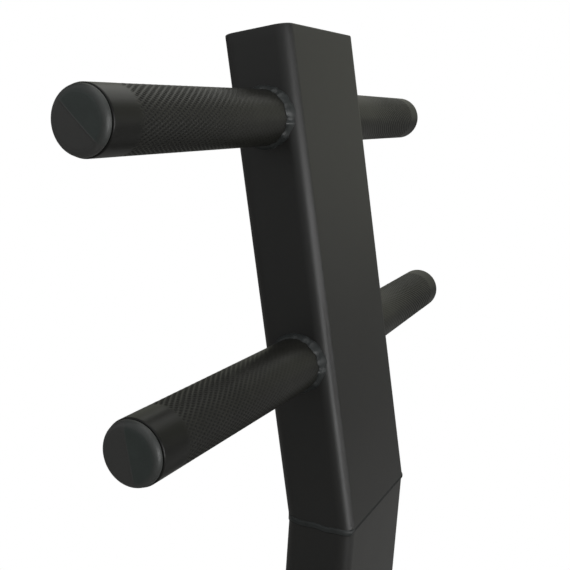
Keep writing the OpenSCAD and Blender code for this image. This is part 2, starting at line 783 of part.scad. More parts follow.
module left_hook() hook(-1);
module right_hook() hook(1);
module left_hook_liner() hook_liner(-1);
module right_hook_liner() hook_liner(1);

// Height lock

// Puts its children on the lock pin's axis, with z = 0 at the upright's rear face
module on_lock() {
    translate([lock_x, 0, pin_z]) along_x() children();
}

module pin_housing() color(steel) on_lock() difference() {
    translate([0, 0, housing_x]) cylinder(d = housing_d, h = housing_end - housing_x);
    cylinder(r = pin_d / 2 + pin_gap, h = chamber_x + over);
    translate([0, 0, chamber_x]) cylinder(d = chamber_d, h = chamber_l);
    translate([0, 0, chamber_x + chamber_l - over])
        cylinder(r = pin_rod_d / 2 + pin_gap, h = guide_l + 2 * over);
}

// Coil between the pin's collar and the rear guide: one helix of round wire
module pin_spring() color(steel) on_lock() {
    ring = 6;
    per_turn = 14;
    steps = spring_turns * per_turn;
    z0 = chamber_x + pin_collar_t + spring_wire / 2 + pin_gap;
    rise = spring_l - spring_wire - 2 * pin_gap;
    points = [for (k = [0 : steps], i = [0 : ring - 1])
        let (turn = 360 * k / per_turn, a = 360 * i / ring, r = spring_r + spring_wire / 2 * cos(a))
        [r * cos(turn), r * sin(turn), z0 + rise * k / steps + spring_wire / 2 * sin(a)]];
    sides = [for (k = [0 : steps - 1], i = [0 : ring - 1]) let (j = (i + 1) % ring)
        each [[k * ring + i, (k + 1) * ring + j, k * ring + j], [k * ring + i, (k + 1) * ring + i, (k + 1) * ring + j]]];
    ends = [for (i = [1 : ring - 2]) each [[0, i, i + 1], [steps * ring, steps * ring + i + 1, steps * ring + i]]];
    polyhedron(points, concat(sides, ends));
}

module lock_pin() color(steel) on_lock() {
    nose = 1.5;
    translate([0, 0, -pin_bite]) cylinder(d1 = pin_d - 2 * nose, d2 = pin_d, h = nose);
    translate([0, 0, nose - pin_bite]) cylinder(d = pin_d, h = chamber_x + pin_bite - nose);
    translate([0, 0, chamber_x]) cylinder(d = pin_collar_d, h = pin_collar_t);
    translate([0, 0, chamber_x]) cylinder(d = pin_rod_d, h = knob_x - chamber_x + knob_l * 0.7);
}

// Mushroom knob with a waist, screwed on the pin's rod
module pull_knob() color(rubber_black) on_lock() translate([0, 0, knob_x]) difference() {
    head_z = knob_l * 0.4;
    rotate_extrude() {
        square([knob_d * 0.29, knob_l * 0.6]);
        difference() {
            translate([0, head_z]) square([knob_d / 2 - knob_round, knob_l - head_z]);
            translate([knob_d / 2 - 1, head_z]) circle(knob_hollow);
        }
        translate([knob_d / 2 - knob_round, knob_l - knob_round]) circle(knob_round);
        translate([0, head_z + knob_hollow]) square([knob_d / 2, knob_l - head_z - knob_hollow - knob_round]);
    }
    translate([0, 0, -over]) cylinder(d = pin_rod_d, h = knob_l * 0.7 + over);
}

// Transport wheels

wheel_y = foot_len / 2 - wheel_in;
wheel_z = wheel_d / 2 + wheel_lift;
hub_w = wheel_w + 2;
lug_gap = hub_w + 2 * wheel_play;

// Puts its children on a wheel's axle, with z = 0 in the wheel's middle and +z outwards
module on_axle(side) {
    translate([mast_x + wheel_x, side * wheel_y, wheel_z]) mirror([0, side < 0 ? 1 : 0, 0])
        along_y() children();
}

// Two plates from the front foot out to the axle, each round about the axle's hole
module wheel_lugs(side) color(black) on_axle(side)
    for (z = [lug_gap / 2, -lug_gap / 2 - lug_t]) translate([0, 0, z]) difference() {
        linear_extrude(lug_t) {
            circle(d = lug_h);
            translate([0, -lug_h / 2]) square([wheel_d / 2 + wheel_clear, lug_h]);
        }
        translate([0, 0, -over]) cylinder(r = axle_d / 2 + bolt_gap, h = lug_t + 2 * over);
    }

module axle(side) color(steel) on_axle(side)
    translate([0, 0, lug_gap / 2 + lug_t]) bolt_and_nut(axle_d, lug_gap + 2 * lug_t);

// Moulded hub with a rim, a thin web and a long boss
module hub(side) color(soft_black) on_axle(side) rotate_extrude() {
    rim_r = wheel_d / 2 - tyre_t;
    rim_w = wheel_w - 2;
    bore_r = axle_d / 2 + axle_gap;
    translate([bore_r, -hub_w / 2]) square([hub_boss_t, hub_w]);
    translate([bore_r, -hub_web_t / 2]) square([rim_r - bore_r, hub_web_t]);
    translate([rim_r - hub_rim_t, -rim_w / 2]) square([hub_rim_t, rim_w]);
}

// Tyre with a rounded tread
module tyre(side) color(rubber_black) on_axle(side) rotate_extrude() {
    rim_r = wheel_d / 2 - tyre_t;
    tread_y = wheel_w / 2 - tyre_round;
    translate([rim_r, -wheel_w / 2]) square([tyre_t - tyre_round, wheel_w]);
    translate([rim_r, -tread_y]) square([tyre_t, 2 * tread_y]);
    for (s = [-1, 1]) translate([wheel_d / 2 - tyre_round, s * tread_y]) circle(tyre_round);
}

module left_wheel_lugs() wheel_lugs(-1);
module right_wheel_lugs() wheel_lugs(1);
module left_axle() axle(-1);
module right_axle() axle(1);
module left_hub() hub(-1);
module right_hub() hub(1);
module left_tyre() tyre(-1);
module right_tyre() tyre(1);

// Lift handle: a round bar with two bends, welded to the rear foot
module lift_handle() color(black) translate([rear_foot_x + tube_w / 2, 0, foot_mid]) {
    leg = handle_out - handle_d / 2 - handle_bend;
    half = handle_w / 2;
    for (s = [0, 1]) mirror([0, s, 0]) {
        translate([0, half, 0]) along_x() cylinder(d = handle_d, h = leg);
        translate([leg, half - handle_bend, 0]) rotate_extrude(angle = 90)
            translate([handle_bend, 0]) circle(d = handle_d);
    }
    translate([leg + handle_bend, handle_bend - half, 0]) along_y()
        cylinder(d = handle_d, h = handle_w - 2 * handle_bend);
}

front_foot();
rear_foot();
base_rail();
rail_end_plates();
front_foot_caps();
rear_foot_caps();
front_floor_pads();
rear_floor_pads();
rail_bolts();
mast_base_plate();
mast_gussets();
mast_bolts();
mast_post();
mast_head();
mast_top_plate();
bend_weld();
upper_left_grip();
upper_right_grip();
lower_left_grip();
lower_right_grip();
upper_left_plug();
upper_right_plug();
lower_left_plug();
lower_right_plug();
upper_grip_welds();
lower_grip_welds();
front_upright();
rear_upright();
upright_gussets();
upright_foot_bolts();
upright_head_bolts();
top_rail();
top_rail_caps();
pad_plate();
pad_board();
pad_bolts();
cushion();
carriage_sleeve();
slide_bushes();
cross_arm();
cross_arm_caps();
left_hook();
right_hook();
left_hook_liner();
right_hook_liner();
pin_housing();
pin_spring();
lock_pin();
pull_knob();
left_wheel_lugs();
right_wheel_lugs();
left_axle();
right_axle();
left_hub();
right_hub();
left_tyre();
right_tyre();
lift_handle();
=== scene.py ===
"""Seal row bench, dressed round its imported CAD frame.

Metres. X runs along the bench from the mast to the tail, Y across it, Z up, and left is -Y.
A CAD node whose shape is right keeps its mesh and gets a finish. The mast's two lengths, all welds,
the knurled grips and their plugs, the cushion with its stitches, wrap and staples, the tyres, the hub
ribs, the knob and the return spring are worked out here.
"""
import json
import math

import bpy
import numpy as np
from mathutils import Matrix, Vector


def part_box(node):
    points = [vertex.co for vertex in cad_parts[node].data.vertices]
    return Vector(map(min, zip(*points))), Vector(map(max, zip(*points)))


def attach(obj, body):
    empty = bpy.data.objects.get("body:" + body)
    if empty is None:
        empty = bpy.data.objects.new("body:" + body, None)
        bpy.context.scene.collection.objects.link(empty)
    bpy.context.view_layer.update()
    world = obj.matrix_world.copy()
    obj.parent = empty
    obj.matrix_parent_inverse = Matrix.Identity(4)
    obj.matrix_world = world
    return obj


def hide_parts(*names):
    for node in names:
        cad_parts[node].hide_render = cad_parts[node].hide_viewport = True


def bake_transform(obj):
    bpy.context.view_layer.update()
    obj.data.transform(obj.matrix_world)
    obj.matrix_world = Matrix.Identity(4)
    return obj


TAU = 2 * math.pi
MM = 0.001

# How far the lock pin is pulled, as in the joint pin_pull
PIN_TRAVEL = 14 * MM
# Sizes of the mast and its grips, as in the CAD, but for the corner radius: the CAD's tube has 6 mm
LEAN = math.radians(12)
MAST_DEPTH = 40 * MM
MAST_CORNER = 8 * MM
MAST_COLUMNS = 480
GRIP_AT = {"upper": 229 * MM, "lower": 94 * MM}
SWEEP = math.radians(2)
GRIP_RADIUS = 15 * MM
GRIP_BORE = 12 * MM
GRIP_LENGTH = 155 * MM
GRIP_SUNK = 1.6 * MM
PLUG_HEAD = 3.8 * MM
PLUG_RADIUS = 14.5 * MM
PLUG_GAP = 0.4 * MM
GRIP_END = GRIP_LENGTH - PLUG_HEAD - PLUG_GAP
# Radius of the small polygon in the middle of a lathed face
CENTRE = 0.02 * MM

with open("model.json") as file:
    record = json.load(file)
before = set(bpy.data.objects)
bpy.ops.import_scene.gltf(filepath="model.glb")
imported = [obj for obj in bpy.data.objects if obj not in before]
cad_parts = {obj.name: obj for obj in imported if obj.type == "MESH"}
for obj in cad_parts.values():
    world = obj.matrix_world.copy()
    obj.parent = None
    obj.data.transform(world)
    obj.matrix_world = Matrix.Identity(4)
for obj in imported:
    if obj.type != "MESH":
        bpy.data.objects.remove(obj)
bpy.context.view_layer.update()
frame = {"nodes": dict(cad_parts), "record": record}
nodes = frame["nodes"]


# Meshes

def new_object(name, data):
    """Links a new object that shows a mesh, a light or a camera."""
    made = bpy.data.objects.new(name, data)
    bpy.context.scene.collection.objects.link(made)
    return made


def smooth_object(name, points, faces):
    """A new object with this mesh, shaded smooth."""
    mesh = bpy.data.meshes.new(name)
    mesh.from_pydata(points.tolist(), [], faces)
    mesh.polygons.foreach_set("use_smooth", [True] * len(mesh.polygons))
    mesh.update()
    return new_object(name, mesh)


def ring_quads(rows, cols, loop=False):
    """Corners of the faces between rings of points. With loop the last ring joins the first."""
    i, j = np.meshgrid(np.arange(rows if loop else rows - 1), np.arange(cols), indexing="ij")
    i2 = (i + 1) % rows
    j2 = (j + 1) % cols
    return np.stack([i * cols + j, i * cols + j2, i2 * cols + j2, i2 * cols + j], -1).reshape(-1, 4)


def grid(name, points, loop=False, smooth_to=40):
    """Closed mesh from a rows x columns array of points.

    Columns run round a ring and rows run along the piece. With loop the last row joins the first;
    otherwise one polygon closes each end. Edges that bend by more than smooth_to degrees stay sharp.
    """
    rows, cols = points.shape[:2]
    quads = ring_quads(rows, cols, loop)
    at = points.reshape(-1, 3)
    a, b, c, d = (at[quads[:, k]] for k in range(4))
    volume = np.einsum("ij,ij->", np.cross(a, b), c) + np.einsum("ij,ij->", np.cross(a, c), d)
    faces = quads.tolist()
    if not loop:
        first = np.arange(cols)[::-1]
        last = np.arange(cols) + (rows - 1) * cols
        for ring in (at[first], at[last]):
            volume += np.einsum("j,ij->", ring[0], np.cross(ring[1:-1], ring[2:]))
        faces += [first.tolist(), last.tolist()]
    if volume < 0:
        faces = [face[::-1] for face in faces]
    made = smooth_object(name, at, faces)
    made.data.set_sharp_from_angle(angle=math.radians(smooth_to))
    return made


def lathe(outline, turns, radius_change=None):
    """Points of an outline of (radius, height) pairs turned through a full circle.

    radius_change(angle, radius, height) is added to the radius, for flutes and treads.
    """
    radius, height = np.asarray(outline, float).T
    angle = np.arange(turns) / turns * TAU
    r, a = np.meshgrid(radius, angle, indexing="ij")
    h = np.repeat(height[:, None], turns, 1)
    if radius_change is not None:
        r = r + radius_change(a, r, h)
    return np.stack([r * np.sin(a), h, r * np.cos(a)], -1)


def arc(centre, radius, start, end, steps):
    """Points on a circle's arc from start to end degrees, as (radius, height) pairs."""
    t = np.radians(np.linspace(start, end, steps))
    return np.stack([centre[0] + radius * np.cos(t), centre[1] + radius * np.sin(t)], -1)


def path_length(points):
    """Distance along a row of points, at each of them."""
    return np.concatenate([[0], np.cumsum(np.linalg.norm(np.diff(points, axis=0), axis=1))])


def onto_head(points, height, side):
    """Places points on the mast's leaning head: x across its wide face, y out from the narrow face on
    side -1 or 1, z along it, from height up the head."""
    post_low, post_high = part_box("mast_post")
    x, y, z = np.moveaxis(points, -1, 0)
    return np.stack([
        (post_low.x + post_high.x) / 2 + x * math.cos(LEAN) - (z + height) * math.sin(LEAN),
        side * (post_high.y + y),
        post_high.z + x * math.sin(LEAN) + (z + height) * math.cos(LEAN),
    ], -1)


def onto_grip(points, level, side):
    """Places points drawn along +Y on a grip's axis, which starts at the mast's face and leans back."""
    x, y, z = np.moveaxis(points, -1, 0)
    swept = np.stack([
        x * math.cos(SWEEP) - y * math.sin(SWEEP),
        x * math.sin(SWEEP) + y * math.cos(SWEEP),
        z,
    ], -1)
    return onto_head(swept, GRIP_AT[level], side)


def attribute(obj, name, values):
    """Stores one number for each vertex, for a material to read."""
    obj.data.attributes.new(name, "FLOAT", "POINT").data.foreach_set("value", values.ravel())


# Materials

# The range that a noise mostly lies in, as inputs of a MapRange node
USUAL = {1: 0.3, 2: 0.7}


def srgb(code):
    """Linear colour of an sRGB hex code."""
    parts = [int(code[k:k + 2], 16) / 255 for k in (1, 3, 5)]
    return [c / 12.92 if c <= 0.04045 else ((c + 0.055) / 1.055) ** 2.4 for c in parts] + [1.0]


def add(tree, kind, inputs=None, out=0, **settings):
    """Adds one shader node and gives one of its outputs, where it has any. Settings are the node's own
    properties; inputs are values or sockets to link."""
    made = tree.nodes.new("ShaderNode" + kind)
    for key, value in settings.items():
        setattr(made, key, value)
    for key, value in (inputs or {}).items():
        if isinstance(value, bpy.types.NodeSocket):
            tree.links.new(value, made.inputs[key])
        else:
            made.inputs[key].default_value = value
    return made.outputs[out] if made.outputs else None


def blended(tree, value, one, other, low=USUAL[1], high=USUAL[2], most=1.0):
    """Socket of a colour that goes from one to the other as a value goes from low to high, or only the
    share most of the way. A colour is a hex code, four numbers or a socket."""
    share = add(tree, "MapRange", {0: value, 1: low, 2: high, 4: most})
    one, other = (srgb(colour) if isinstance(colour, str) else colour for colour in (one, other))
    return add(tree, "Mix", {0: share, 6: one, 7: other}, out=2, data_type="RGBA")


def noise(tree, where, size, detail=2.0, stretch=(1, 1, 1)):
    """Socket of a noise whose lumps are about size metres across, longer along a stretched axis."""
    scaled = add(tree, "Mapping", {0: where, 3: [1 / (size * s) for s in stretch]})
    return add(tree, "TexNoise", {"Vector": scaled, "Scale": 1.0, "Detail": detail})


def material(name, finish, *values, **named):
    """A material whose shader gets the inputs that finish, one of the functions below, works out from
    its tree, its object coordinates and the values."""
    made = bpy.data.materials.new(name)
    made.use_nodes = True
    tree = made.node_tree
    tree.nodes.clear()
    where = add(tree, "TexCoord", out="Object")
    shader = add(tree, "BsdfPrincipled", finish(tree, where, *values, **named))
    add(tree, "OutputMaterial", {"Surface": shader})
    return made


def powder_coat(tree, where, dark, light, rounded=0.8 * MM):
    """Baked polyester powder on steel: deep black with a satin skin, orange peel of about 1.5 mm
    and a finer grit of 0.4 mm. The powder pulls thin on sharp edges, which look softer and paler."""
    cloud = noise(tree, where, 90 * MM, 3.0)
    peel = noise(tree, where, 1.5 * MM, 1.0)
    grit = noise(tree, where, 0.4 * MM, 0.0)
    soft = add(tree, "Bevel", {"Radius": rounded}, samples=4)
    flat = add(tree, "NewGeometry", out="Normal")
    same = add(tree, "VectorMath", {0: soft, 1: flat}, out="Value", operation="DOT_PRODUCT")
    skin = add(tree, "Bump", {"Height": peel, "Distance": 0.010 * MM, "Normal": soft})
    return {
        "Base Color": blended(tree, same, blended(tree, cloud, dark, light), "#4a4a48", 0.995, 0.85, 0.5),
        "Roughness": add(tree, "MapRange", {0: cloud, **USUAL, 3: 0.40, 4: 0.47}),
        "Normal": add(tree, "Bump", {"Height": grit, "Distance": 0.006 * MM, "Normal": skin}),
        "IOR": 1.5,
        "Specular IOR Level": 0.5,
    }


def grip_coat(tree, where, dark, light):
    """The same powder over knurled or welded steel, with painted shade: where a piece marks it, in the
    knurl's pits and along the bend bead, the black is deeper and rougher. The smooth band at a grip's end is
    darker than the rubbed crests."""
    depth = add(tree, "Attribute", out="Fac", attribute_name="painted_shade")
    band = add(tree, "Attribute", out="Fac", attribute_name="band")
    cloud = noise(tree, where, 20 * MM, 3.0)
    grit = noise(tree, where, 0.4 * MM, 0.0)
    crest = blended(tree, band, blended(tree, cloud, dark, light), "#141412", 0, 1)
    return {
        # Painted shade: marked pits and recesses go to near black
        "Base Color": blended(tree, depth, crest, "#0c0c0a", 0, 1),
        "Roughness": add(tree, "MapRange", {0: depth, 3: 0.38, 4: 0.75}),
        "Normal": add(tree, "Bump", {"Height": grit, "Distance": 0.006 * MM}),
        "IOR": 1.5,
        "Specular IOR Level": 0.30,
    }


def moulded_nylon(tree, where, code, grain=0.6 * MM):
    """Injection moulded nylon: spark-eroded mould grain of about 0.6 mm and a dull cool black, painted
    warmer and paler where a piece marks painted light, as a plug does on its face, rib and rim."""
    bloom = add(tree, "Attribute", out="Fac", attribute_name="bloom")
    cloud = noise(tree, where, 12 * MM, 3.0)
    fine = noise(tree, where, grain, 1.0)
    paler = [min(1, c * 1.2 + 0.001) for c in srgb(code)[:3]] + [1.0]
    return {
        # Painted light: paler where a piece marks it, on a plug's face half, rib and rim
        "Base Color": blended(tree, bloom, blended(tree, cloud, code, paler, 0.35, 0.65), "#414140", 0, 1),
        "Roughness": add(tree, "MapRange", {0: fine, **USUAL, 3: 0.42, 4: 0.55}),
        "Normal": add(tree, "Bump", {"Height": fine, "Distance": 0.02 * MM}),
        "IOR": 1.53,
    }


def cured_rubber(tree, where, code):
    """Cured black rubber: matte, with a faint grey bloom and a fine pitted skin of about 0.8 mm."""
    bloom = noise(tree, where, 10 * MM, 4.0)
    pits = noise(tree, where, 0.8 * MM, 2.0)
    return {
        "Base Color": blended(tree, bloom, code, "#3a3a38", 0.45, 0.75, 0.5),
        "Roughness": add(tree, "MapRange", {0: bloom, **USUAL, 3: 0.68, 4: 0.85}),
        "Normal": add(tree, "Bump", {"Height": pits, "Distance": 0.05 * MM}),
        "IOR": 1.52,
    }


def zinc_plate(tree, where):
    """Bright zinc on turned and forged steel: a pale metal with cloudy roughness and fine handling
    scratches, drawn 0.5 mm apart so that they show."""
    cloud = noise(tree, where, 6 * MM, 3.0)
    scratch = noise(tree, where, 0.5 * MM, 1.0, (1, 12, 1))
    soft = add(tree, "Bevel", {"Radius": 0.6 * MM}, samples=4)
    return {
        "Base Color": blended(tree, cloud, "#a9abab", "#c9c8c2"),
        "Metallic": 1.0,
        "Roughness": add(tree, "MapRange", {0: cloud, **USUAL, 3: 0.28, 4: 0.46}),
        "Normal": add(tree, "Bump", {"Height": scratch, "Distance": 0.008 * MM, "Normal": soft}),
    }


def birch_plywood(tree, where):
    """Sanded birch plywood: pale faces with long grain, and edges of plies 1.5 mm thick, every second
    one cut across the grain and darker."""
    grain = noise(tree, where, 2.5 * MM, 4.0, (24, 1, 1))
    fibre = noise(tree, where, 1.2 * MM, 3.0)
    height = add(tree, "SeparateXYZ", {0: where}, out=2)
    wave = add(tree, "Math", {0: height, 1: TAU / (3 * MM)}, operation="MULTIPLY")
    ply = add(tree, "Math", {0: wave}, operation="SINE")
    edge = blended(tree, ply, "#8b6740", "#bd9c6c", -0.3, 0.3)
    edge = blended(tree, fibre, edge, "#6d4f30", 0.4, 0.8, 0.5)
    up = add(tree, "SeparateXYZ", {0: add(tree, "NewGeometry", out="Normal")}, out=2)
    flat = add(tree, "Math", {0: up}, operation="ABSOLUTE")
    return {
        "Base Color": blended(tree, flat, edge, blended(tree, grain, "#c6a678", "#a98557"), 0.4, 0.6),
        "Roughness": add(tree, "MapRange", {0: grain, **USUAL, 3: 0.5, 4: 0.68}),
        "Normal": add(tree, "Bump", {"Height": grain, "Distance": 0.08 * MM}),
        "IOR": 1.5,
    }


def upholstery_vinyl(tree, where):
    """Calendered vinyl on a knitted back: a leather grain of cells about 1.4 mm across with soft creases
    between them, painted darker there as painted shade, black with a low sheen."""
    cells = {"Vector": where, "Scale": 1 / (1.39888 * MM)}
    from_edge = add(tree, "TexVoronoi", cells, feature="DISTANCE_TO_EDGE")
    pebble = add(tree, "MapRange", {0: from_edge, 2: 0.22})
    cloud = noise(tree, where, 60 * MM, 3.0)
    return {
        # Painted shade: the creases between grain cells are darker
        "Base Color": blended(tree, pebble, "#121213", blended(tree, cloud, "#1b1b1d", "#232325"), 0, 1),
        "Roughness": add(tree, "MapRange", {0: pebble, 3: 0.62, 4: 0.44}),
        "Normal": add(tree, "Bump", {"Height": pebble, "Distance": 0.12 * MM}),
        "IOR": 1.52,
    }


def thread(tree, where):
    """Bonded polyester thread, twisted, charcoal."""
    twist = noise(tree, where, 0.6 * MM, 1.0)
    return {
        "Base Color": blended(tree, twist, "#2a2a2c", "#46464a", 0, 1),
        "Roughness": 0.6,
        "Normal": add(tree, "Bump", {"Height": twist, "Distance": 0.1 * MM}),
    }


def slick_polyethylene(tree, where):
    """Machined high-weight polyethylene, dyed red: waxy, with faint tool lines 0.9 mm apart and grey
    rub marks where a bar has lain."""
    lines = noise(tree, where, 0.9 * MM, 1.0, (8, 1, 8))
    rub = noise(tree, where, 18 * MM, 4.0)
    red = blended(tree, lines, "#8c1a17", "#a3221e", 0, 1)
    return {
        "Base Color": blended(tree, rub, red, "#4c2a28", 0.55, 0.8, 0.45),
        "Roughness": add(tree, "MapRange", {0: rub, **USUAL, 3: 0.34, 4: 0.5}),
        "Normal": add(tree, "Bump", {"Height": lines, "Distance": 0.02 * MM}),
        "IOR": 1.51,
        "Subsurface Weight": 0.05,
    }


# Knurled grips

KNURL_A = (36, 4.80 * MM, 1.0)
KNURL_B = (48, 3.45 * MM, 0.85)
KNURL_DEPTH = 0.32 * MM
KNURL_FADE = (30 * MM, 85 * MM)
BAND = 18 * MM


def knurl(angle, along):
    """Share of the full depth, from 0 to 1, of the pits between two crossed families of ridges.

    A family of n ridges has phase n * angle / turn - along / pitch; a ridge is a raised cosine to the
    power 1.6, of its own height from 0 to 1. Where two cross, the higher one counts, with a soft change.
    Towards the mast the powder lies thicker and the pits fill up.
    """
    raised = np.zeros_like(angle)
    for (count, pitch, height), hand in ((KNURL_A, 1), (KNURL_B, -1)):
        phase = count * angle / TAU - hand * along / pitch
        ridge = (0.5 + 0.5 * np.cos(TAU * phase)) ** 1.6
        raised = raised + (height * ridge) ** 4
    near, far = KNURL_FADE
    open_pits = 0.22 + 0.78 * np.clip((along - near) / (far - near), 0, 1)
    return (1 - np.minimum(raised ** 0.25, 1)) * open_pits


def make_grip(level, side, name):
    """A tube from the mast's face to the plug: knurled outside, with a smooth band at its end, a round
    outer edge and a plain bore. The columns run round it and the rows follow its closed section."""
    edge = 0.7 * MM
    knurled = np.arange(-GRIP_SUNK, GRIP_END - BAND, 0.55 * MM)
    band = np.array([GRIP_END - BAND + 1 * MM, GRIP_END - 2 * edge])
    outer = np.concatenate([knurled, band])
    rounding = arc((GRIP_RADIUS - edge, GRIP_END - edge), edge, 0, 90, 5)
    outline = np.concatenate([
        np.stack([np.full_like(outer, GRIP_RADIUS), outer], -1),
        rounding,
        [[GRIP_BORE + 0.3 * MM, GRIP_END], [GRIP_BORE, GRIP_END - 0.3 * MM]],
        [[GRIP_BORE, GRIP_END / 2], [GRIP_BORE, -GRIP_SUNK]],
    ])
    turns = 384
    points = lathe(outline, turns)
    along = np.repeat(outline[:, 1:], turns, 1)
    angle = np.repeat(np.arange(turns)[None] / turns * TAU, len(outline), 0)
    pit = knurl(angle, along)
    fade = np.clip((GRIP_END - BAND - along) / (3 * MM), 0, 1)
    fade[len(knurled):] = 0
    scale = 1 - KNURL_DEPTH * pit * fade / np.hypot(points[..., 0], points[..., 2])
    points = points * np.stack([scale, np.ones_like(scale), scale], -1)
    made = grid(name, onto_grip(points, level, side), loop=True)
    # Painted shade in the knurl's pits, as strong as each pit is deep
    attribute(made, "painted_shade", np.clip(pit * fade, 0, 1))
    attribute(made, "band", 1 - fade)
    return made


def make_plug(level, side, name, line_angle):
    """A push-in plug: shank, shadow gap, then a head with a broad round rim and a nearly flat face. The face
    is two halves that meet in a moulding line at line_angle from upright. The line is a rib of normal-curve
    section, and one half slopes away from it. That half and the rib are painted paler as painted light, and
    the rim is painted paler as a painted highlight."""
    round_rim = 3.3 * MM
    dome_height = 0.25 * MM
    rib_height = 0.13 * MM
    shank = 11.8 * MM
    neck = 13.2 * MM
    head = GRIP_LENGTH - PLUG_HEAD
    rim = arc((PLUG_RADIUS - round_rim, GRIP_LENGTH - dome_height - round_rim), round_rim, 0, 86, 14)
    dome = np.linspace(PLUG_RADIUS - round_rim, CENTRE, 60)[1:]
    outline = np.concatenate([
        [[CENTRE, head - 20 * MM], [shank - 0.4 * MM, head - 20 * MM], [shank, head - 19.5 * MM]],
        [[shank, GRIP_END - 0.4 * MM], [neck, GRIP_END], [neck, head], [PLUG_RADIUS - 0.1 * MM, head]],
        rim,
        np.stack([dome, GRIP_LENGTH - dome_height * (dome / PLUG_RADIUS) ** 2], -1),
    ])
    points = lathe(outline, 192)
    turn = math.radians(line_angle)
    off_line = points[..., 0] * math.cos(turn) + points[..., 2] * math.sin(turn)
    from_axis = np.hypot(points[..., 0], points[..., 2])
    in_head = points[..., 1] > head
    on_face = np.clip((PLUG_RADIUS - 1.5 * MM - from_axis) / (1.5 * MM), 0, 1) * in_head
    rib = rib_height * np.exp(-((off_line / (0.32 * MM)) ** 2)) * on_face
    slope = 0.02 * np.minimum(off_line * -side, 0) * on_face
    points[..., 1] = np.minimum(points[..., 1] + rib + slope - 0.10 * MM * on_face, GRIP_LENGTH)
    made = grid(name, onto_grip(points, level, side), smooth_to=30)
    # Painted light on the half that slopes away and on the rib, and a painted highlight on the rim
    bloom = np.clip(0.5 - off_line * -side / (0.5 * MM), 0, 1) * in_head
    rim_highlight = np.clip((from_axis - PLUG_RADIUS + round_rim) / (1.5 * MM), 0, 1) * in_head
    attribute(made, "bloom", np.clip(bloom + 1.6 * rib / rib_height + 0.6 * rim_highlight, 0, 1.6))
    return made


def make_weld(level, name):
    """Fillet welds round two grips' roots. The foot of each follows the mast's narrow face and its
    round corners. The bead between foot and grip is a shallow arc, longer along the grip than across
    the face and heaviest above and towards the tail, in 13 uneven lumps: sines round the grip."""
    made = []
    columns = 288
    angle = np.arange(columns) / columns * TAU
    inner = np.full(columns, GRIP_RADIUS - 0.4 * MM)
    for side in (-1, 1):
        wobble = 0.5 * np.sin(5 * angle + GRIP_AT[level] * 40) + 0.35 * np.sin(11 * angle + side)
        heavy = 0.5 + 0.5 * np.cos(angle - math.radians(70))
        ripple = (0.3 + 0.7 * heavy) * np.cos(13 * angle + 1.5 * wobble)
        leg = (1.7 + 0.7 * heavy) * MM * (1 + 0.12 * ripple + 0.06 * wobble)
        climb = (2.3 + 1.7 * heavy) * MM * (1 + 0.16 * ripple + 0.08 * wobble)
        foot = GRIP_RADIUS + leg
        offset = np.abs(foot * np.sin(angle))
        past = np.clip(offset - (MAST_DEPTH / 2 - MAST_CORNER), 0, MAST_CORNER * 0.98)
        drop = MAST_CORNER - np.sqrt(MAST_CORNER ** 2 - past ** 2)
        rows = []
        for t in np.linspace(0, 1, 13):
            swell = 0.22 * math.sin(math.pi * t) * leg
            rows.append((GRIP_RADIUS + leg * t + 0.5 * swell, climb * (1 - t) + 0.5 * swell - drop * t ** 2))
        rows.append((foot - 0.4 * MM, -drop - 1.0 * MM))
        rows.append((inner, np.full(columns, -1.0 * MM)))
        rows.append((inner, climb * 0.9))
        r, out = np.stack(rows, 1)
        points = np.stack([r * np.sin(angle), out, r * np.cos(angle)], -1)
        made.append(grid(name, onto_head(points, GRIP_AT[level], side), loop=True, smooth_to=60))
    return join(name, made)


def join(name, objects):
    """Joins objects into one mesh, in their own places."""
    bpy.ops.object.select_all(action="DESELECT")
    for obj in objects:
        obj.select_set(True)
    bpy.context.view_layer.objects.active = objects[0]
    bpy.ops.object.join()
    objects[0].name = name
    return objects[0]


def round_rectangle(dx, dy, radius, steps):
    """Evenly spaced points and outward normals along a rectangle with round corners."""
    straight_x = dx - 2 * radius
    straight_y = dy - 2 * radius
    fine = []
    for corner, (cx, cy) in enumerate(((1, 1), (-1, 1), (-1, -1), (1, -1))):
        t = (corner + np.linspace(0, 1, 60)) * math.pi / 2
        fine.append(np.stack([
            cx * straight_x / 2 + radius * np.cos(t), cy * straight_y / 2 + radius * np.sin(t), t,
        ], -1))
    fine = np.concatenate(fine + [fine[0][:1] + [[0, 0, TAU]]])
    length = path_length(fine[:, :2])
    at = np.linspace(0, length[-1] * (1 - 1 / steps), steps)
    x, y, t = (np.interp(at, length, fine[:, k]) for k in range(3))
    return x, y, np.cos(t), np.sin(t), at


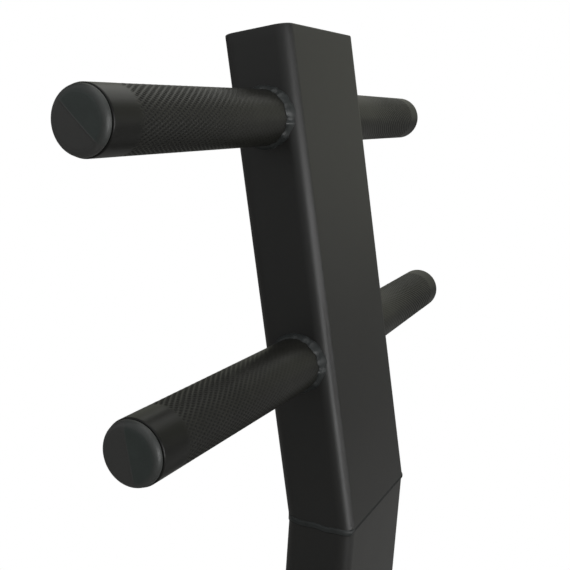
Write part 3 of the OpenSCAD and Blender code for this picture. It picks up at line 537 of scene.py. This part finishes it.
def make_bend_bead():
    """The weld round the mast at its bend: a low smooth bead with slow waves on the narrow faces and the
    corners, ground down on the wide faces, where a dark hairline is painted shade standing for the joint's
    groove. Its section is half a sine, and painted shade darkens its lower edge on the narrow faces."""
    low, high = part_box("mast_post")
    columns = 720
    x, y, nx, ny, at = round_rectangle(MAST_DEPTH / math.cos(LEAN), high.y - low.y, MAST_CORNER, columns)
    narrow = np.clip(np.abs(ny) * 2.2 - 0.2, 0, 1)
    rear_edge = np.clip(np.abs(x) / (MAST_DEPTH / 2) - 0.80, 0, 0.20) / 0.20 * (x < 0)
    lump = 1 + 0.20 * np.sin(at / (8.5 * MM) * TAU) + 0.14 * np.sin(at / (5.3 * MM) * TAU + 1)
    proud = (0.05 + narrow * (1 - rear_edge) * 0.60 * lump) * MM
    half = (1.0 + narrow * 0.8) * MM
    wave = narrow * (0.30 * np.sin(at / (14 * MM) * TAU) - 0.6) * MM
    t = np.linspace(0, math.pi, 15)[:, None]
    level = np.zeros((1, columns))
    out = np.concatenate([proud * np.sin(t), level - 1.2 * MM])
    up = np.concatenate([-half * np.cos(t) + wave, level])
    tilt = np.where(up > 0, -math.tan(LEAN) * up, 0)
    points = np.stack([
        (low.x + high.x) / 2 + x + nx * out + tilt,
        y + ny * out,
        high.z + up,
    ], -1)
    made = grid("bend_bead", points, loop=True, smooth_to=60)
    # Painted shade: the bead's lower edge on the narrow faces, and a hairline along the joint on the wide
    # faces
    lower = np.clip(2.4 - t / 0.4, 0, 1) * narrow
    line = 0.8 * np.sin(t) * (1 - narrow)
    attribute(made, "painted_shade", np.concatenate([np.maximum(lower, line), level]))
    return made


def make_mast_head(name):
    """The leaning head of the mast: a bar with round corners from the bend's level plane up to its
    closing plate, welded and ground flush, with a small round top edge."""
    low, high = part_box("mast_post")
    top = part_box("mast_top_plate")[1].z - high.z
    length = (top - MAST_DEPTH / 2 * math.sin(LEAN)) / math.cos(LEAN)
    x, y, nx, ny, _ = round_rectangle(MAST_DEPTH, high.y - low.y, MAST_CORNER, MAST_COLUMNS)
    foot = -x * math.tan(LEAN)
    edge = 0.9 * MM
    t = np.linspace(0, math.pi / 2, 7)
    rows = [(0, foot)]
    rows += [(0, foot + (length - edge - foot) * share) for share in (0.02, 0.5, 0.98)]
    rows += [(edge * (1 - math.cos(u)), length - edge * (1 - math.sin(u))) for u in t]
    rows += [(edge + 0.4 * MM, length)]
    points = np.stack([
        np.stack([x - nx * inset, y - ny * inset - high.y, np.broadcast_to(height, x.shape)], -1)
        for inset, height in rows
    ])
    return grid(name, onto_head(points, 0, 1), smooth_to=30)


def make_mast_post(name):
    """The upright lower length of the mast, a bar with the same round corners."""
    low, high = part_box("mast_post")
    x, y, *_ = round_rectangle(MAST_DEPTH, high.y - low.y, MAST_CORNER, MAST_COLUMNS)
    x = x + (low.x + high.x) / 2
    rows = [np.stack([x, y, np.full_like(x, z)], -1) for z in (low.z, high.z - MM, high.z)]
    return grid(name, np.stack(rows), smooth_to=30)


# Cushion

PAD_CORNER = 45 * MM
PAD_EDGE = 14 * MM
PAD_DRAW = 2.5 * MM
PAD_CROWN = 6 * MM
PAD_SEAM = 44 * MM
# How far the two rows of stitches lie from the seam, and the spacing of stitches and of staples
STITCHES_AWAY = 3.4 * MM
STITCH_EVERY = 5 * MM
STAPLE_EVERY = 36 * MM


def pad_columns(long_steps, short_steps, corner_steps):
    """Columns round a rectangle with round corners: the signs that lead to each column's corner, as
    fractions along the straight sides, and the way its normal faces. Every ring has the same ones."""
    corners = ((1, 1), (-1, 1), (-1, -1), (1, -1))
    parts = []
    for k, (u, v) in enumerate(corners):
        next_u, next_v = corners[(k + 1) % 4]
        turn = np.arange(corner_steps) / corner_steps
        parts.append(np.stack([turn * 0 + u, turn * 0 + v, (k + turn) * math.pi / 2]))
        side = np.arange(short_steps if k % 2 else long_steps)
        side = side / len(side)
        parts.append(np.stack([
            u + (next_u - u) * side, v + (next_v - v) * side, side * 0 + (k + 1) * math.pi / 2,
        ]))
    return np.concatenate(parts, 1)


def pad_surface(outline, columns, smaller=0.0, draw=PAD_DRAW):
    """Rings of a long pad. Each (inset, height) pair of the outline gives one ring, a rectangle with
    round corners that lies that far inside the pad's edge. The long sides draw in between the ends."""
    low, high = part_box("cushion")
    inset = outline[:, :1] + smaller
    half_x = (high.x - low.x) / 2 - inset
    half_y = (high.y - low.y) / 2 - inset
    radius = np.minimum(np.maximum(PAD_CORNER - inset, 1.5 * MM), half_y)
    u, v, turn = columns
    x = u * (half_x - radius) + radius * np.cos(turn)
    y = v * (half_y - radius) + radius * np.sin(turn)
    along = x / ((high.x - low.x) / 2)
    y = y * (1 - draw / ((high.y - low.y) / 2) * (1 - along ** 2))
    z = np.broadcast_to(outline[:, 1:], x.shape)
    return np.stack([x + (low.x + high.x) / 2, y, z + low.z], -1)


def pad_outline(height, step):
    """(Inset, height) pairs from the middle of the pad's base, up its side and in over its crown."""
    low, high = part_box("cushion")
    half = (high.y - low.y) / 2
    base = np.linspace(half - 0.5 * MM, 7 * MM, int(half / step / 2))
    foot = arc((-4 * MM, 4 * MM), 4 * MM, -80, -5, 4) * [-1, 1]
    side = np.arange(6 * MM, height - PAD_EDGE, step)
    edge_steps = int(2.2 * PAD_EDGE / step) + 2
    edge = arc((-PAD_EDGE, height - PAD_EDGE), PAD_EDGE, 0, 90, edge_steps) * [-1, 1]
    top = np.linspace(PAD_EDGE, half - 0.5 * MM, int(half / step / 1.6))[1:]
    crown = PAD_CROWN * (1 - ((half - top) / (half - PAD_EDGE)) ** 2)
    return np.concatenate([
        np.stack([base, base * 0], -1),
        foot,
        np.stack([side * 0, side], -1),
        edge,
        np.stack([top, height + crown], -1),
    ])


def apply_modifiers(obj):
    """Replaces an object's mesh by what its modifiers make of it, and removes them."""
    bpy.context.view_layer.update()
    changed = bpy.data.meshes.new_from_object(obj.evaluated_get(bpy.context.evaluated_depsgraph_get()))
    obj.modifiers.clear()
    old = obj.data
    obj.data = changed
    bpy.data.meshes.remove(old)


def vertices(obj):
    """Coordinates of an object's vertices."""
    at = np.empty(len(obj.data.vertices) * 3)
    obj.data.vertices.foreach_get("co", at)
    return at.reshape(-1, 3)


def swell(obj, most):
    """Blows a closed mesh up as a stuffed cover: cloth with pressure inside and no gravity, its base
    held down on its board. No point moves further than most, and those near the base move less."""
    remesh = obj.modifiers.new("voxels", "REMESH")
    remesh.mode = "VOXEL"
    remesh.voxel_size = 6 * MM
    apply_modifiers(obj)
    start = vertices(obj)
    held = obj.vertex_groups.new(name="base")
    held.add(np.flatnonzero(start[:, 2] < start[:, 2].min() + 2 * MM).tolist(), 1.0, "REPLACE")
    cloth = obj.modifiers.new("cover", "CLOTH")
    cloth.settings.quality = 5
    cloth.settings.bending_stiffness = 5.0
    cloth.settings.use_pressure = True
    cloth.settings.uniform_pressure_force = 4.0
    cloth.settings.vertex_group_mass = "base"
    cloth.settings.effector_weights.gravity = 0.0
    for step in range(1, 21):
        bpy.context.scene.frame_set(step)
    apply_modifiers(obj)
    bpy.context.scene.frame_set(1)
    moved = vertices(obj) - start
    length = np.linalg.norm(moved, axis=1, keepdims=True)
    moved = moved * np.minimum(1, most / np.maximum(length, 1e-9))
    free = np.clip((start[:, 2:] - start[:, 2].min()) / (22 * MM), 0, 1)
    obj.data.vertices.foreach_set("co", (start + moved * free).ravel())
    obj.data.update()
    smooth = obj.modifiers.new("even", "SMOOTH")
    smooth.factor = 0.5
    smooth.iterations = 5
    apply_modifiers(obj)


def make_cushion(name):
    """Foam under stretched vinyl: a core is swollen as cloth and an even skin is laid on it, with a
    seam sunk round its side: a valley of normal-curve section, 1.3 mm deep, that puckers a little."""
    low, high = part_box("cushion")
    height = high.z - low.z - PAD_CROWN
    outline = pad_outline(height, 2 * MM)
    columns = pad_columns(360, 70, 22)
    skin = grid(name, pad_surface(outline, columns), smooth_to=60)
    core_outline = pad_outline(height - 4 * MM, 6 * MM)
    core = grid("cushion_core", pad_surface(core_outline, pad_columns(150, 24, 8), 3 * MM))
    swell(core, 7 * MM)
    wrap = skin.modifiers.new("skin", "SHRINKWRAP")
    wrap.target = core
    apply_modifiers(skin)
    bpy.data.objects.remove(core)
    rows, cols = len(outline), columns.shape[1]
    at = vertices(skin).reshape(rows, cols, 3)
    base = at[:, :, 2] < low.z + 1.5 * MM
    at[:, :, 2] = np.where(base, low.z, at[:, :, 2])
    out = outward(at)
    sewn = int(np.argmin(np.abs(outline[:, 1] - PAD_SEAM) + (outline[:, 0] > 1 * MM)))
    from_seam = np.linalg.norm(at - at[sewn], axis=-1) * np.sign(np.arange(rows) - sewn)[:, None]
    round_pad = path_length(at[sewn])
    pucker = 1 + 0.25 * np.sin(round_pad / (13 * MM) * TAU) + 0.2 * np.sin(round_pad / (7.3 * MM) * TAU + 1)
    depth = 1.3 * MM * np.exp(-((from_seam / (1.6 * MM)) ** 2)) * pucker
    puff = 0.5 * MM * np.exp(-(((np.abs(from_seam) - 6 * MM) / (3.5 * MM)) ** 2)) * pucker
    at = at + out * (puff - depth)[..., None]
    skin.data.vertices.foreach_set("co", at.ravel())
    skin.data.update()
    stitches = [
        make_stitches("row", at, outward(at), sewn, from_seam, away, round_pad)
        for away in (-STITCHES_AWAY, STITCHES_AWAY)
    ]
    return skin, join(name + "_stitches", stitches)


def outward(at):
    """Unit normals of a grid of rings: the cross product of its two directions."""
    round_ring = np.roll(at, -1, 1) - np.roll(at, 1, 1)
    up = np.gradient(at, axis=0)
    normal = np.cross(round_ring, up)
    return normal / np.maximum(np.linalg.norm(normal, axis=-1, keepdims=True), 1e-12)


def spaced(line, along, every, start=0.0):
    """Values of a line at even distances. along holds the distance of each of its own values."""
    share = np.arange(start, along[-1], every)
    return np.stack([np.interp(share, along, line[:, k]) for k in range(3)], -1)


def make_stitches(name, at, out, sewn, from_seam, away, round_pad):
    """A row of topstitches that far from the seam, each 3.6 mm long."""
    spot = np.argmin(np.abs(from_seam[:, 0] - away) + (np.abs(np.arange(len(at)) - sewn) > 9))
    centre = spaced(at[spot], round_pad, STITCH_EVERY)
    normal = spaced(out[spot], round_pad, STITCH_EVERY)
    return lay_capsules(name, centre, normal, 1.8 * MM, 0.55 * MM, 0.15 * MM)


def lay_capsules(name, centre, normal, half, thick, sunk):
    """Short capsules along a row of points, sunk at their ends. Radius along one is a stretched
    ball's, the square root of the sine of its angle."""
    normal = normal / np.linalg.norm(normal, axis=1, keepdims=True)
    tangent = np.gradient(centre, axis=0)
    tangent = tangent / np.linalg.norm(tangent, axis=1, keepdims=True)
    beside = np.cross(normal, tangent)
    t = np.linspace(0.06, 0.94, 5)[:, None, None] * math.pi
    a = np.arange(6)[None, :, None] / 6 * TAU
    radius = thick * np.sin(t) ** 0.5
    return many(
        name,
        centre[:, None, None]
        - tangent[:, None, None] * half * np.cos(t)
        + normal[:, None, None] * (radius * np.sin(a) - sunk * np.cos(t) ** 2)
        + beside[:, None, None] * radius * np.cos(a),
    )


def make_wrap(name):
    """The vinyl's lower edge, pulled over the board's side and 30 mm in under it."""
    outline = np.array([
        [3.2, 6.5], [2.2, 4.5], [2.2, 1], [2.7, -3], [2.8, -15.5], [3.1, -17.2], [4.1, -18.6],
        [6, -19.1], [16, -19.1], [33, -19.0], [33.6, -18.6], [33.6, -18.1], [4.9, -18.1], [4.9, -9],
        [4.9, 0.5], [5.2, 6.5],
    ]) * MM
    return grid(name, pad_surface(outline, pad_columns(240, 50, 16), draw=0.0), loop=True, smooth_to=50)


def make_staples(name):
    """Staples with a 10 mm crown of flat wire, through the vinyl under the board."""
    line = pad_surface(np.array([[17, -19.2]]) * MM, pad_columns(240, 50, 16), draw=0.0)[0]
    centre = spaced(line, path_length(line), STAPLE_EVERY, 9 * MM)
    return lay_capsules(name, centre, centre * 0 + [0, 0, -1], 5 * MM, 0.5 * MM, 0.6 * MM)


def many(name, points):
    """One mesh of many like closed grids, from an array of pieces x rows x columns points."""
    pieces, rows, cols = points.shape[:3]
    quads = ring_quads(rows, cols)
    first = np.arange(cols)[::-1]
    last = np.arange(cols) + (rows - 1) * cols
    at = points[0].reshape(-1, 3)
    normal = np.cross(at[quads[:, 1]] - at[quads[:, 0]], at[quads[:, 2]] - at[quads[:, 1]])
    inside_out = np.einsum("ij,ij->", normal, at[quads].mean(1) - at.mean(0)) < 0
    each = [face[::-1] if inside_out else face for face in [*quads.tolist(), first.tolist(), last.tolist()]]
    faces = [[v + k * rows * cols for v in face] for k in range(pieces) for face in each]
    return smooth_object(name, points.reshape(-1, 3), faces)


# Wheels and knob

def make_tyre(node, name):
    """A solid rubber tyre: two grooves round the tread and 36 shoulder notches on each side, set
    half a pitch apart. A notch sinks the shoulder where the cosine of its phase is high."""
    low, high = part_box(node)
    radius = (high.z - low.z) / 2
    half = (high.y - low.y) / 2
    rim = radius - 14 * MM
    shoulder = arc((radius - 4 * MM, half - 4 * MM), 4 * MM, 90, 0, 8)
    tread = np.array([
        [radius, 10.2 * MM], [radius, 9.4 * MM], [radius, 7.6 * MM], [radius, 5.6 * MM],
        [radius - 1.2 * MM, 5.2 * MM], [radius - 1.5 * MM, 4.4 * MM], [radius - 1.2 * MM, 3.6 * MM],
        [radius, 3.2 * MM], [radius, 1.5 * MM],
    ])
    one_side = np.concatenate([
        [[rim, half - 1 * MM], [rim + 1 * MM, half], [radius - 7 * MM, half]], shoulder, tread,
    ])
    outline = np.concatenate([one_side, one_side[::-1] * [1, -1]])

    def notch(angle, r, h):
        phase = 36 * angle + np.where(h > 0, 0, math.pi)
        sink = np.clip(np.cos(phase) * 4 - 1.6, 0, 1)
        return -1.6 * MM * sink * (np.abs(h) > 8 * MM) * (r > radius - 5 * MM)

    points = lathe(outline, 432, notch)
    middle = (np.array(low) + np.array(high)) / 2
    return grid(name, points + middle, loop=True, smooth_to=35)


def make_hub_ribs(node, name):
    """Six moulded ribs on each side of a wheel's web, from its boss to its rim, round at their edges."""
    low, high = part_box(node)
    middle = (np.array(low) + np.array(high)) / 2
    half = 13 * MM
    angle = np.arange(6) / 6 * TAU
    reach = np.linspace(11 * MM, 33.5 * MM, 6)
    a = np.arange(16) / 16 * TAU
    across = 1.7 * MM * np.sign(np.cos(a)) * np.abs(np.cos(a)) ** 0.5
    deep = half * np.sign(np.sin(a)) * np.abs(np.sin(a)) ** 0.2
    sag = 1 - 0.22 * np.sin((reach - reach[0]) / (reach[-1] - reach[0]) * math.pi)
    r = reach[None, :, None]
    turn = angle[:, None, None]
    points = np.stack(np.broadcast_arrays(
        r * np.cos(turn) - across * np.sin(turn),
        deep * sag[None, :, None],
        r * np.sin(turn) + across * np.cos(turn),
    ), -1)
    return many(name, points + middle)


def make_spring(name):
    """The lock pin's return spring: seven turns of round wire between the pin's collar and the rear guide.

    Its turns are spaced by a smooth curve of the pin's travel, so that they lie evenly when the pin is
    pulled.
    """
    low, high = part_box("pin_spring")
    wire = 0.6 * MM
    first = low.x + wire
    length = high.x - wire - first
    t = np.linspace(0, 1, 337)[:, None]
    moved = PIN_TRAVEL * t ** 2 * (3 - 2 * t)
    turn = 7 * TAU * (length * t - moved) / (length - PIN_TRAVEL)
    ring = np.arange(12) / 12 * TAU
    radius = (high.y - low.y) / 2 - wire + wire * np.cos(ring)
    middle = ((low.y + high.y) / 2, (low.z + high.z) / 2)
    y = middle[0] + radius * np.sin(turn)
    z = middle[1] + radius * np.cos(turn)
    made = grid(name, np.stack([first + length * t + wire * np.sin(ring), y, z], -1), smooth_to=60)
    dress(made, finishes["zinc_steel"])
    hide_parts("pin_spring")
    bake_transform(made)


def make_knob(name):
    """A moulded knob on the lock pin: a waist, and a head with ten finger flutes and a domed face. The
    flutes take 1.3 mm from the rim where the cosine of ten turns is high."""
    low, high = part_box("pull_knob")
    length = high.x - low.x
    radius = (high.z - low.z) / 2
    waist = radius * 0.58
    head = length * 0.40
    hollow = arc((radius - 1 * MM, head), 4 * MM, 178, 100, 8)
    rim = arc((radius - 5 * MM, length - 5 * MM), 5 * MM, 0, 82, 10)
    dome = np.linspace(radius - 5 * MM, CENTRE, 10)[1:]
    outline = np.concatenate([
        [[CENTRE, 0], [waist - 0.8 * MM, 0], [waist, 0.8 * MM], [waist, head * 0.5]],
        [[waist + 0.5 * MM, head - 1 * MM]],
        hollow[hollow[:, 0] > waist + 0.8 * MM],
        [[radius - 0.5 * MM, head + 4.3 * MM], [radius, head + 5 * MM]],
        rim,
        np.stack([dome, length - 0.15 * MM - 0.4 * MM * (dome / radius) ** 2], -1),
    ])

    def flute(angle, r, h):
        deep = np.clip(np.cos(10 * angle), 0, 1) ** 2
        return -1.3 * MM * deep * np.clip((r - radius * 0.7) / (radius * 0.25), 0, 1)

    points = lathe(outline, 240, flute)
    x, y, z = np.moveaxis(points, -1, 0)
    return grid(name, np.stack([low.x + y, x, z + (low.z + high.z) / 2], -1), smooth_to=35)


# Welds of the frame

# The uprights' depth and flanges, and the two lengths of weld beside the gusset in their middle
UPRIGHT_DEPTH = 60 * MM
FLANGE = 6 * MM
BESIDE_GUSSET = ((-43 * MM, -3 * MM), (3 * MM, 43 * MM))
SLEEVE_WELD = 47 * MM


def lay_bead(path, out, up, legs):
    """A fillet weld in the corner of two faces, along a path given as rows of points. out and up are
    the directions along the two faces, and legs its reach along them. Ripples 2.4 mm apart swell it."""
    at = path_length(path)
    ripple = (at / (2.4 * MM)) % 1
    size = (1 - 0.12 * ripple ** 2 + 0.05 * np.sin(at / (31 * MM) * TAU))[:, None, None]
    t = np.linspace(0, 1, 7)[None, :, None]
    swollen = 0.15 * np.sin(math.pi * t)
    out = np.broadcast_to(out, path.shape)[:, None]
    up = np.broadcast_to(up, path.shape)[:, None]
    face = legs[0] * out * (1 - t + swollen) + legs[1] * up * (t + swollen)
    heel = -0.6 * MM * (out + up)
    return np.concatenate([path[:, None] + size * face, path[:, None] + heel], 1)


def straight_bead(start, end, out, up, legs=(4 * MM, 4 * MM)):
    """A fillet weld along a straight corner, with closed ends."""
    steps = int(math.dist(start, end) / (0.6 * MM)) + 2
    path = np.linspace(start, end, steps)
    return grid("bead", lay_bead(path, np.array(out), np.array(up), legs), smooth_to=60)


def ring_bead(middle, x_axis, y_axis, outline, legs=(4 * MM, 4 * MM)):
    """A fillet weld round a tube that stands on a face: outline is the tube's own, in x_axis and
    y_axis on the face, and the weld climbs along their cross product."""
    x, y, nx, ny = outline
    x_axis, y_axis = np.array(x_axis), np.array(y_axis)
    path = np.array(middle) + x[:, None] * x_axis + y[:, None] * y_axis
    out = nx[:, None] * x_axis + ny[:, None] * y_axis
    return grid("bead", lay_bead(path, out, np.cross(x_axis, y_axis), legs), loop=True, smooth_to=60)


def make_frame_welds(name):
    """Welds of the mast on its base plate, the uprights on their flanges, the rail on its end plates,
    the lift handle and the wheel lugs."""
    low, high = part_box("mast_post")
    outline = round_rectangle(high.x - low.x, high.y - low.y, MAST_CORNER, 440)[:4]
    middle = ((low.x + high.x) / 2, 0, low.z)
    rings = [(middle, (1, 0, 0), (0, 1, 0), outline)]
    straight = []
    for node in ("front_upright", "rear_upright"):
        low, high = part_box(node)
        for z, up in ((low.z + FLANGE, 1), (high.z - FLANGE, -1)):
            for side in (-1, 1):
                x = (low.x + high.x) / 2 + side * UPRIGHT_DEPTH / 2
                for start, end in BESIDE_GUSSET:
                    straight.append(((x, start, z), (x, end, z), (side, 0, 0), (0, 0, up)))
    low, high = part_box("base_rail")
    for x, up in ((low.x, 1), (high.x, -1)):
        for side in (-1, 1):
            y = side * high.y
            straight.append(((x, y, low.z + 5 * MM), (x, y, high.z - 5 * MM), (0, side, 0), (up, 0, 0)))
    low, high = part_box("lift_handle")
    bar = (high.z - low.z) / 2
    angle = np.arange(100) / 100 * TAU
    circle = (bar * np.cos(angle), bar * np.sin(angle), np.cos(angle), np.sin(angle))
    for side in (-1, 1):
        middle = (low.x, side * (high.y - bar), (low.z + high.z) / 2)
        rings.append((middle, (0, 1, 0), (0, 0, 1), circle))
    for node in ("left_wheel_lugs", "right_wheel_lugs"):
        low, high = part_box(node)
        x = high.x
        for y, side in ((low.y, -1), (high.y, 1)):
            straight.append(((x, y, low.z + 1 * MM), (x, y, high.z - 5 * MM), (0, side, 0), (-1, 0, 0)))
    return join(name, [ring_bead(*ring) for ring in rings] + [straight_bead(*line) for line in straight])


def make_carriage_welds(name):
    """Welds of the cross arm on the sleeve and of the hooks on the cross arm."""
    low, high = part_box("cross_arm")
    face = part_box("carriage_sleeve")[0].x
    straight = []
    for z, side in ((high.z - 1 * MM, 1), (low.z + 1 * MM, -1)):
        ends = ((face, -SLEEVE_WELD, z), (face, SLEEVE_WELD, z))
        straight.append((*ends, (0, 0, side), (-1, 0, 0), (4 * MM, 8 * MM)))
    x = low.x
    for node in ("left_hook", "right_hook"):
        hook_low, hook_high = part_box(node)
        for y, side in ((hook_low.y, -1), (hook_high.y, 1)):
            straight.append(((x, y, low.z + 8 * MM), (x, y, high.z - 8 * MM), (0, side, 0), (-1, 0, 0)))
    return join(name, [straight_bead(*line) for line in straight])


# Finishes, and where each piece belongs

COAT = ("#20201f", "#262625")
finishes = {
    "frame_coat": material("powder_coated_steel", powder_coat, *COAT),
    "grip_coat": material("powder_coated_knurling", grip_coat, "#21211e", "#282824"),
    "black_plastic": material("moulded_nylon", moulded_nylon, "#323937"),
    "rubber": material("cured_rubber", cured_rubber, "#1a1a1a"),
    "zinc_steel": material("zinc_plated_steel", zinc_plate),
    "plywood": material("birch_plywood", birch_plywood),
    "vinyl": material("upholstery_vinyl", upholstery_vinyl),
    "red_plastic": material("red_polyethylene", slick_polyethylene),
    "knob_plastic": material("phenolic_knob", moulded_nylon, "#1c1c1d", 1.0 * MM),
    "tyre": material("tyre_rubber", cured_rubber, "#1b1b1b"),
}


def dress(obj, finish):
    """Gives an object one material in place of those it has."""
    obj.data.materials.clear()
    obj.data.materials.append(finish)


def place(obj, body, slot, *replaced, finish=None):
    """Finishes a new piece as its slot says, unless it has a finish of its own, rides it on its body
    and hides what it stands for."""
    dress(obj, finish or finishes[slot])
    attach(obj, body)
    if replaced:
        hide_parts(*replaced)


for part in frame["record"]["subparts"]:
    dress(nodes[part["node"]], finishes[part["material_slot"]])

mast_coat = material("powder_coated_mast", powder_coat, *COAT, rounded=0.0)
weld_coat = material("powder_coated_weld", grip_coat, "#313434", "#3a3d3d")
PLUG_LINES = {"upper": 38, "lower": 2}
for level, line in PLUG_LINES.items():
    for hand, side in (("left", -1), ("right", 1)):
        grip = f"{level}_{hand}_grip"
        plug = f"{level}_{hand}_plug"
        place(make_grip(level, side, grip + "_knurled"), "frame", "grip_coat", grip)
        place(make_plug(level, side, plug + "_moulded", line), "frame", "black_plastic", plug)
    welds = f"{level}_grip_welds"
    place(make_weld(level, welds + "_laid"), "frame", "frame_coat", welds, finish=weld_coat)
place(make_bend_bead(), "frame", "frame_coat", "bend_weld", finish=weld_coat)
head = make_mast_head("mast_head_coated")
place(head, "frame", "frame_coat", "mast_head", "mast_top_plate", finish=mast_coat)
place(make_mast_post("mast_post_coated"), "frame", "frame_coat", "mast_post", finish=mast_coat)
place(make_frame_welds("frame_welds"), "frame", "frame_coat")
place(make_carriage_welds("carriage_welds"), "carriage", "frame_coat")
place(make_knob("pull_knob_moulded"), "pin", "knob_plastic", "pull_knob")
make_spring("return_spring_wound")
for hand in ("left", "right"):
    place(make_tyre(hand + "_tyre", hand + "_tyre_treaded"), hand + "_wheel", "tyre", hand + "_tyre")
    place(make_hub_ribs(hand + "_hub", hand + "_hub_ribs"), hand + "_wheel", "black_plastic")
cushion, stitches = make_cushion("cushion_covered")
place(cushion, "frame", "vinyl", "cushion")
place(stitches, "frame", "vinyl", finish=material("bonded_thread", thread))
place(make_wrap("cushion_wrap"), "frame", "vinyl")
place(make_staples("cushion_staples"), "frame", "zinc_steel")


# Stage, light and camera

# Half the floor's width, and the distances over which the camera sees it fade to white
FLOOR_HALF = 40.0
FLOOR_FADE = (1.2, 1.8)
# The backdrop on the +Y side and the wall on the -Y side: linear colours, and cosines of the angles from
# +Y where each one ends and begins. The gap is what lies between, and other rays see the fill.
BACKDROP = (0.378, 0.385, 0.325, 1)
BACKDROP_EDGES = (math.cos(math.radians(52)), math.cos(math.radians(40)))
ROOM = (0.52, 0.53, 0.53, 1)
ROOM_EDGES = (math.cos(math.radians(85)), math.cos(math.radians(105)))
GAP = (0.03, 0.03, 0.035, 1)
FILL = (0.345, 0.345, 0.345, 1)
# The photograph's camera, found from the mast's edges, grips and bend, for a tube 100 mm wide
CAMERA_AT = (-0.52138, -0.49832, 1.00005)
CAMERA_PAN = 24.032
CAMERA_TILT = -12.069
CAMERA_ROLL = 3.641
CAMERA_LENS = 57.97
# Where the lights round the mast are turned
MAST_EYE = (-0.70, 0.0, 0.90)


def floor_paint(tree, where):
    """Painted concrete, a pale mottled grey."""
    mottle = noise(tree, where, 50 * MM, 4.0)
    return {
        "Base Color": blended(tree, mottle, "#a9a9a6", "#b4b4b1", 0, 1),
        "Roughness": 0.7,
        "Specular IOR Level": 0.2,
    }


def make_floor():
    """A pale floor. Near the bench it is painted concrete that takes the bench's shadow; further out
    the camera sees it fade to the white of the backdrop."""
    mesh = bpy.data.meshes.new("floor")
    corners = [(x * FLOOR_HALF, y * FLOOR_HALF, 0) for x, y in ((-1, -1), (1, -1), (1, 1), (-1, 1))]
    mesh.from_pydata(corners, [], [(0, 1, 2, 3)])
    floor = new_object("floor", mesh)
    floor.location.z = -0.2 * MM
    made = material("pale_painted_floor", floor_paint)
    tree = made.node_tree
    where = tree.nodes["Texture Coordinate"].outputs["Object"]
    oval = add(tree, "VectorMath", {0: where, 1: (1.0, 1.6, 1.0)}, operation="MULTIPLY")
    out = add(tree, "VectorMath", {0: oval}, out="Value", operation="LENGTH")
    far = add(tree, "MapRange", {0: out, 1: FLOOR_FADE[0], 2: FLOOR_FADE[1]})
    seen = add(tree, "LightPath", out="Is Camera Ray")
    factor = add(tree, "Math", {0: far, 1: seen}, operation="MULTIPLY")
    white = add(tree, "Emission", {"Color": (1, 1, 1, 1), "Strength": 1.0})
    paint = tree.nodes["Principled BSDF"].outputs[0]
    shade = add(tree, "MixShader", {0: factor, 1: paint, 2: white})
    tree.links.new(shade, tree.nodes["Material Output"].inputs["Surface"])
    mesh.materials.append(made)


def make_world():
    """Soft studio surroundings. The camera sees white. Reflections see a pale backdrop on the +Y side, a
    pale wall on the -Y side and dark gaps between them. Other rays get an even dim light."""
    world = bpy.data.worlds.new("studio")
    bpy.context.scene.world = world
    world.use_nodes = True
    tree = world.node_tree
    tree.nodes.clear()
    seen, through, mirror = (
        add(tree, "LightPath", out=f"Is {kind} Ray") for kind in ("Camera", "Transmission", "Glossy")
    )
    direction = add(tree, "TexCoord", out="Generated")
    level = add(tree, "VectorMath", {0: direction, 1: (1, 1, 0)}, operation="MULTIPLY")
    level = add(tree, "VectorMath", {0: level}, operation="NORMALIZE")
    turned = add(tree, "SeparateXYZ", {0: level}, out=1)
    near = blended(tree, turned, GAP, ROOM, *ROOM_EDGES)
    mirrored = blended(tree, turned, near, BACKDROP, *BACKDROP_EDGES)
    plain = blended(tree, mirror, FILL, mirrored, 0, 1)
    straight = add(tree, "Math", {0: seen, 1: through}, operation="MAXIMUM")
    colour = blended(tree, straight, plain, (1, 1, 1, 1), 0, 1)
    back = add(tree, "Background", {"Color": colour, "Strength": 1.0})
    add(tree, "OutputWorld", {"Surface": back})


def make_softbox(name, at, towards, size, power, glint=False):
    """A rectangular white softbox at a point, turned towards another, unseen by the camera. One made
    for a glint shows in shiny surfaces and lights nothing else."""
    light = bpy.data.lights.new(name, "AREA")
    light.shape = "RECTANGLE"
    light.size, light.size_y = size
    light.energy = power
    lamp = new_object(name, light)
    lamp.location = at
    lamp.rotation_euler = (Vector(towards) - Vector(at)).to_track_quat("-Z", "Y").to_euler()
    lamp.visible_camera = False
    lamp.visible_diffuse = not glint


def make_camera():
    """Places the photograph's camera."""
    camera = bpy.data.cameras.new("camera")
    camera.sensor_width = 36.0
    camera.lens = CAMERA_LENS
    camera.clip_start = 0.02
    camera.clip_end = 100.0
    holder = new_object("camera", camera)
    pan = Matrix.Rotation(math.radians(CAMERA_PAN), 4, "Z")
    tilt = Matrix.Rotation(math.radians(90 + CAMERA_TILT), 4, "X")
    roll = Matrix.Rotation(math.radians(CAMERA_ROLL), 4, "Z")
    holder.matrix_world = Matrix.Translation(CAMERA_AT) @ pan @ tilt @ roll
    bpy.context.scene.camera = holder


make_camera()
make_floor()
make_world()
make_softbox("side", (1.85, 0.10, 0.96), MAST_EYE, (3.0, 1.0), 34)
make_softbox("low", (1.87, -0.30, 0.68), MAST_EYE, (1.3, 0.9), 21, glint=True)
make_softbox("back", (-0.9, 2.7, 3.3), MAST_EYE, (3.0, 1.3), 11.5)
make_softbox("top", (0.0, 0.0, 3.4), (0.0, 0.0, 0.0), (2.4, 1.6), 14)
bpy.context.scene.view_settings.view_transform = "Standard"
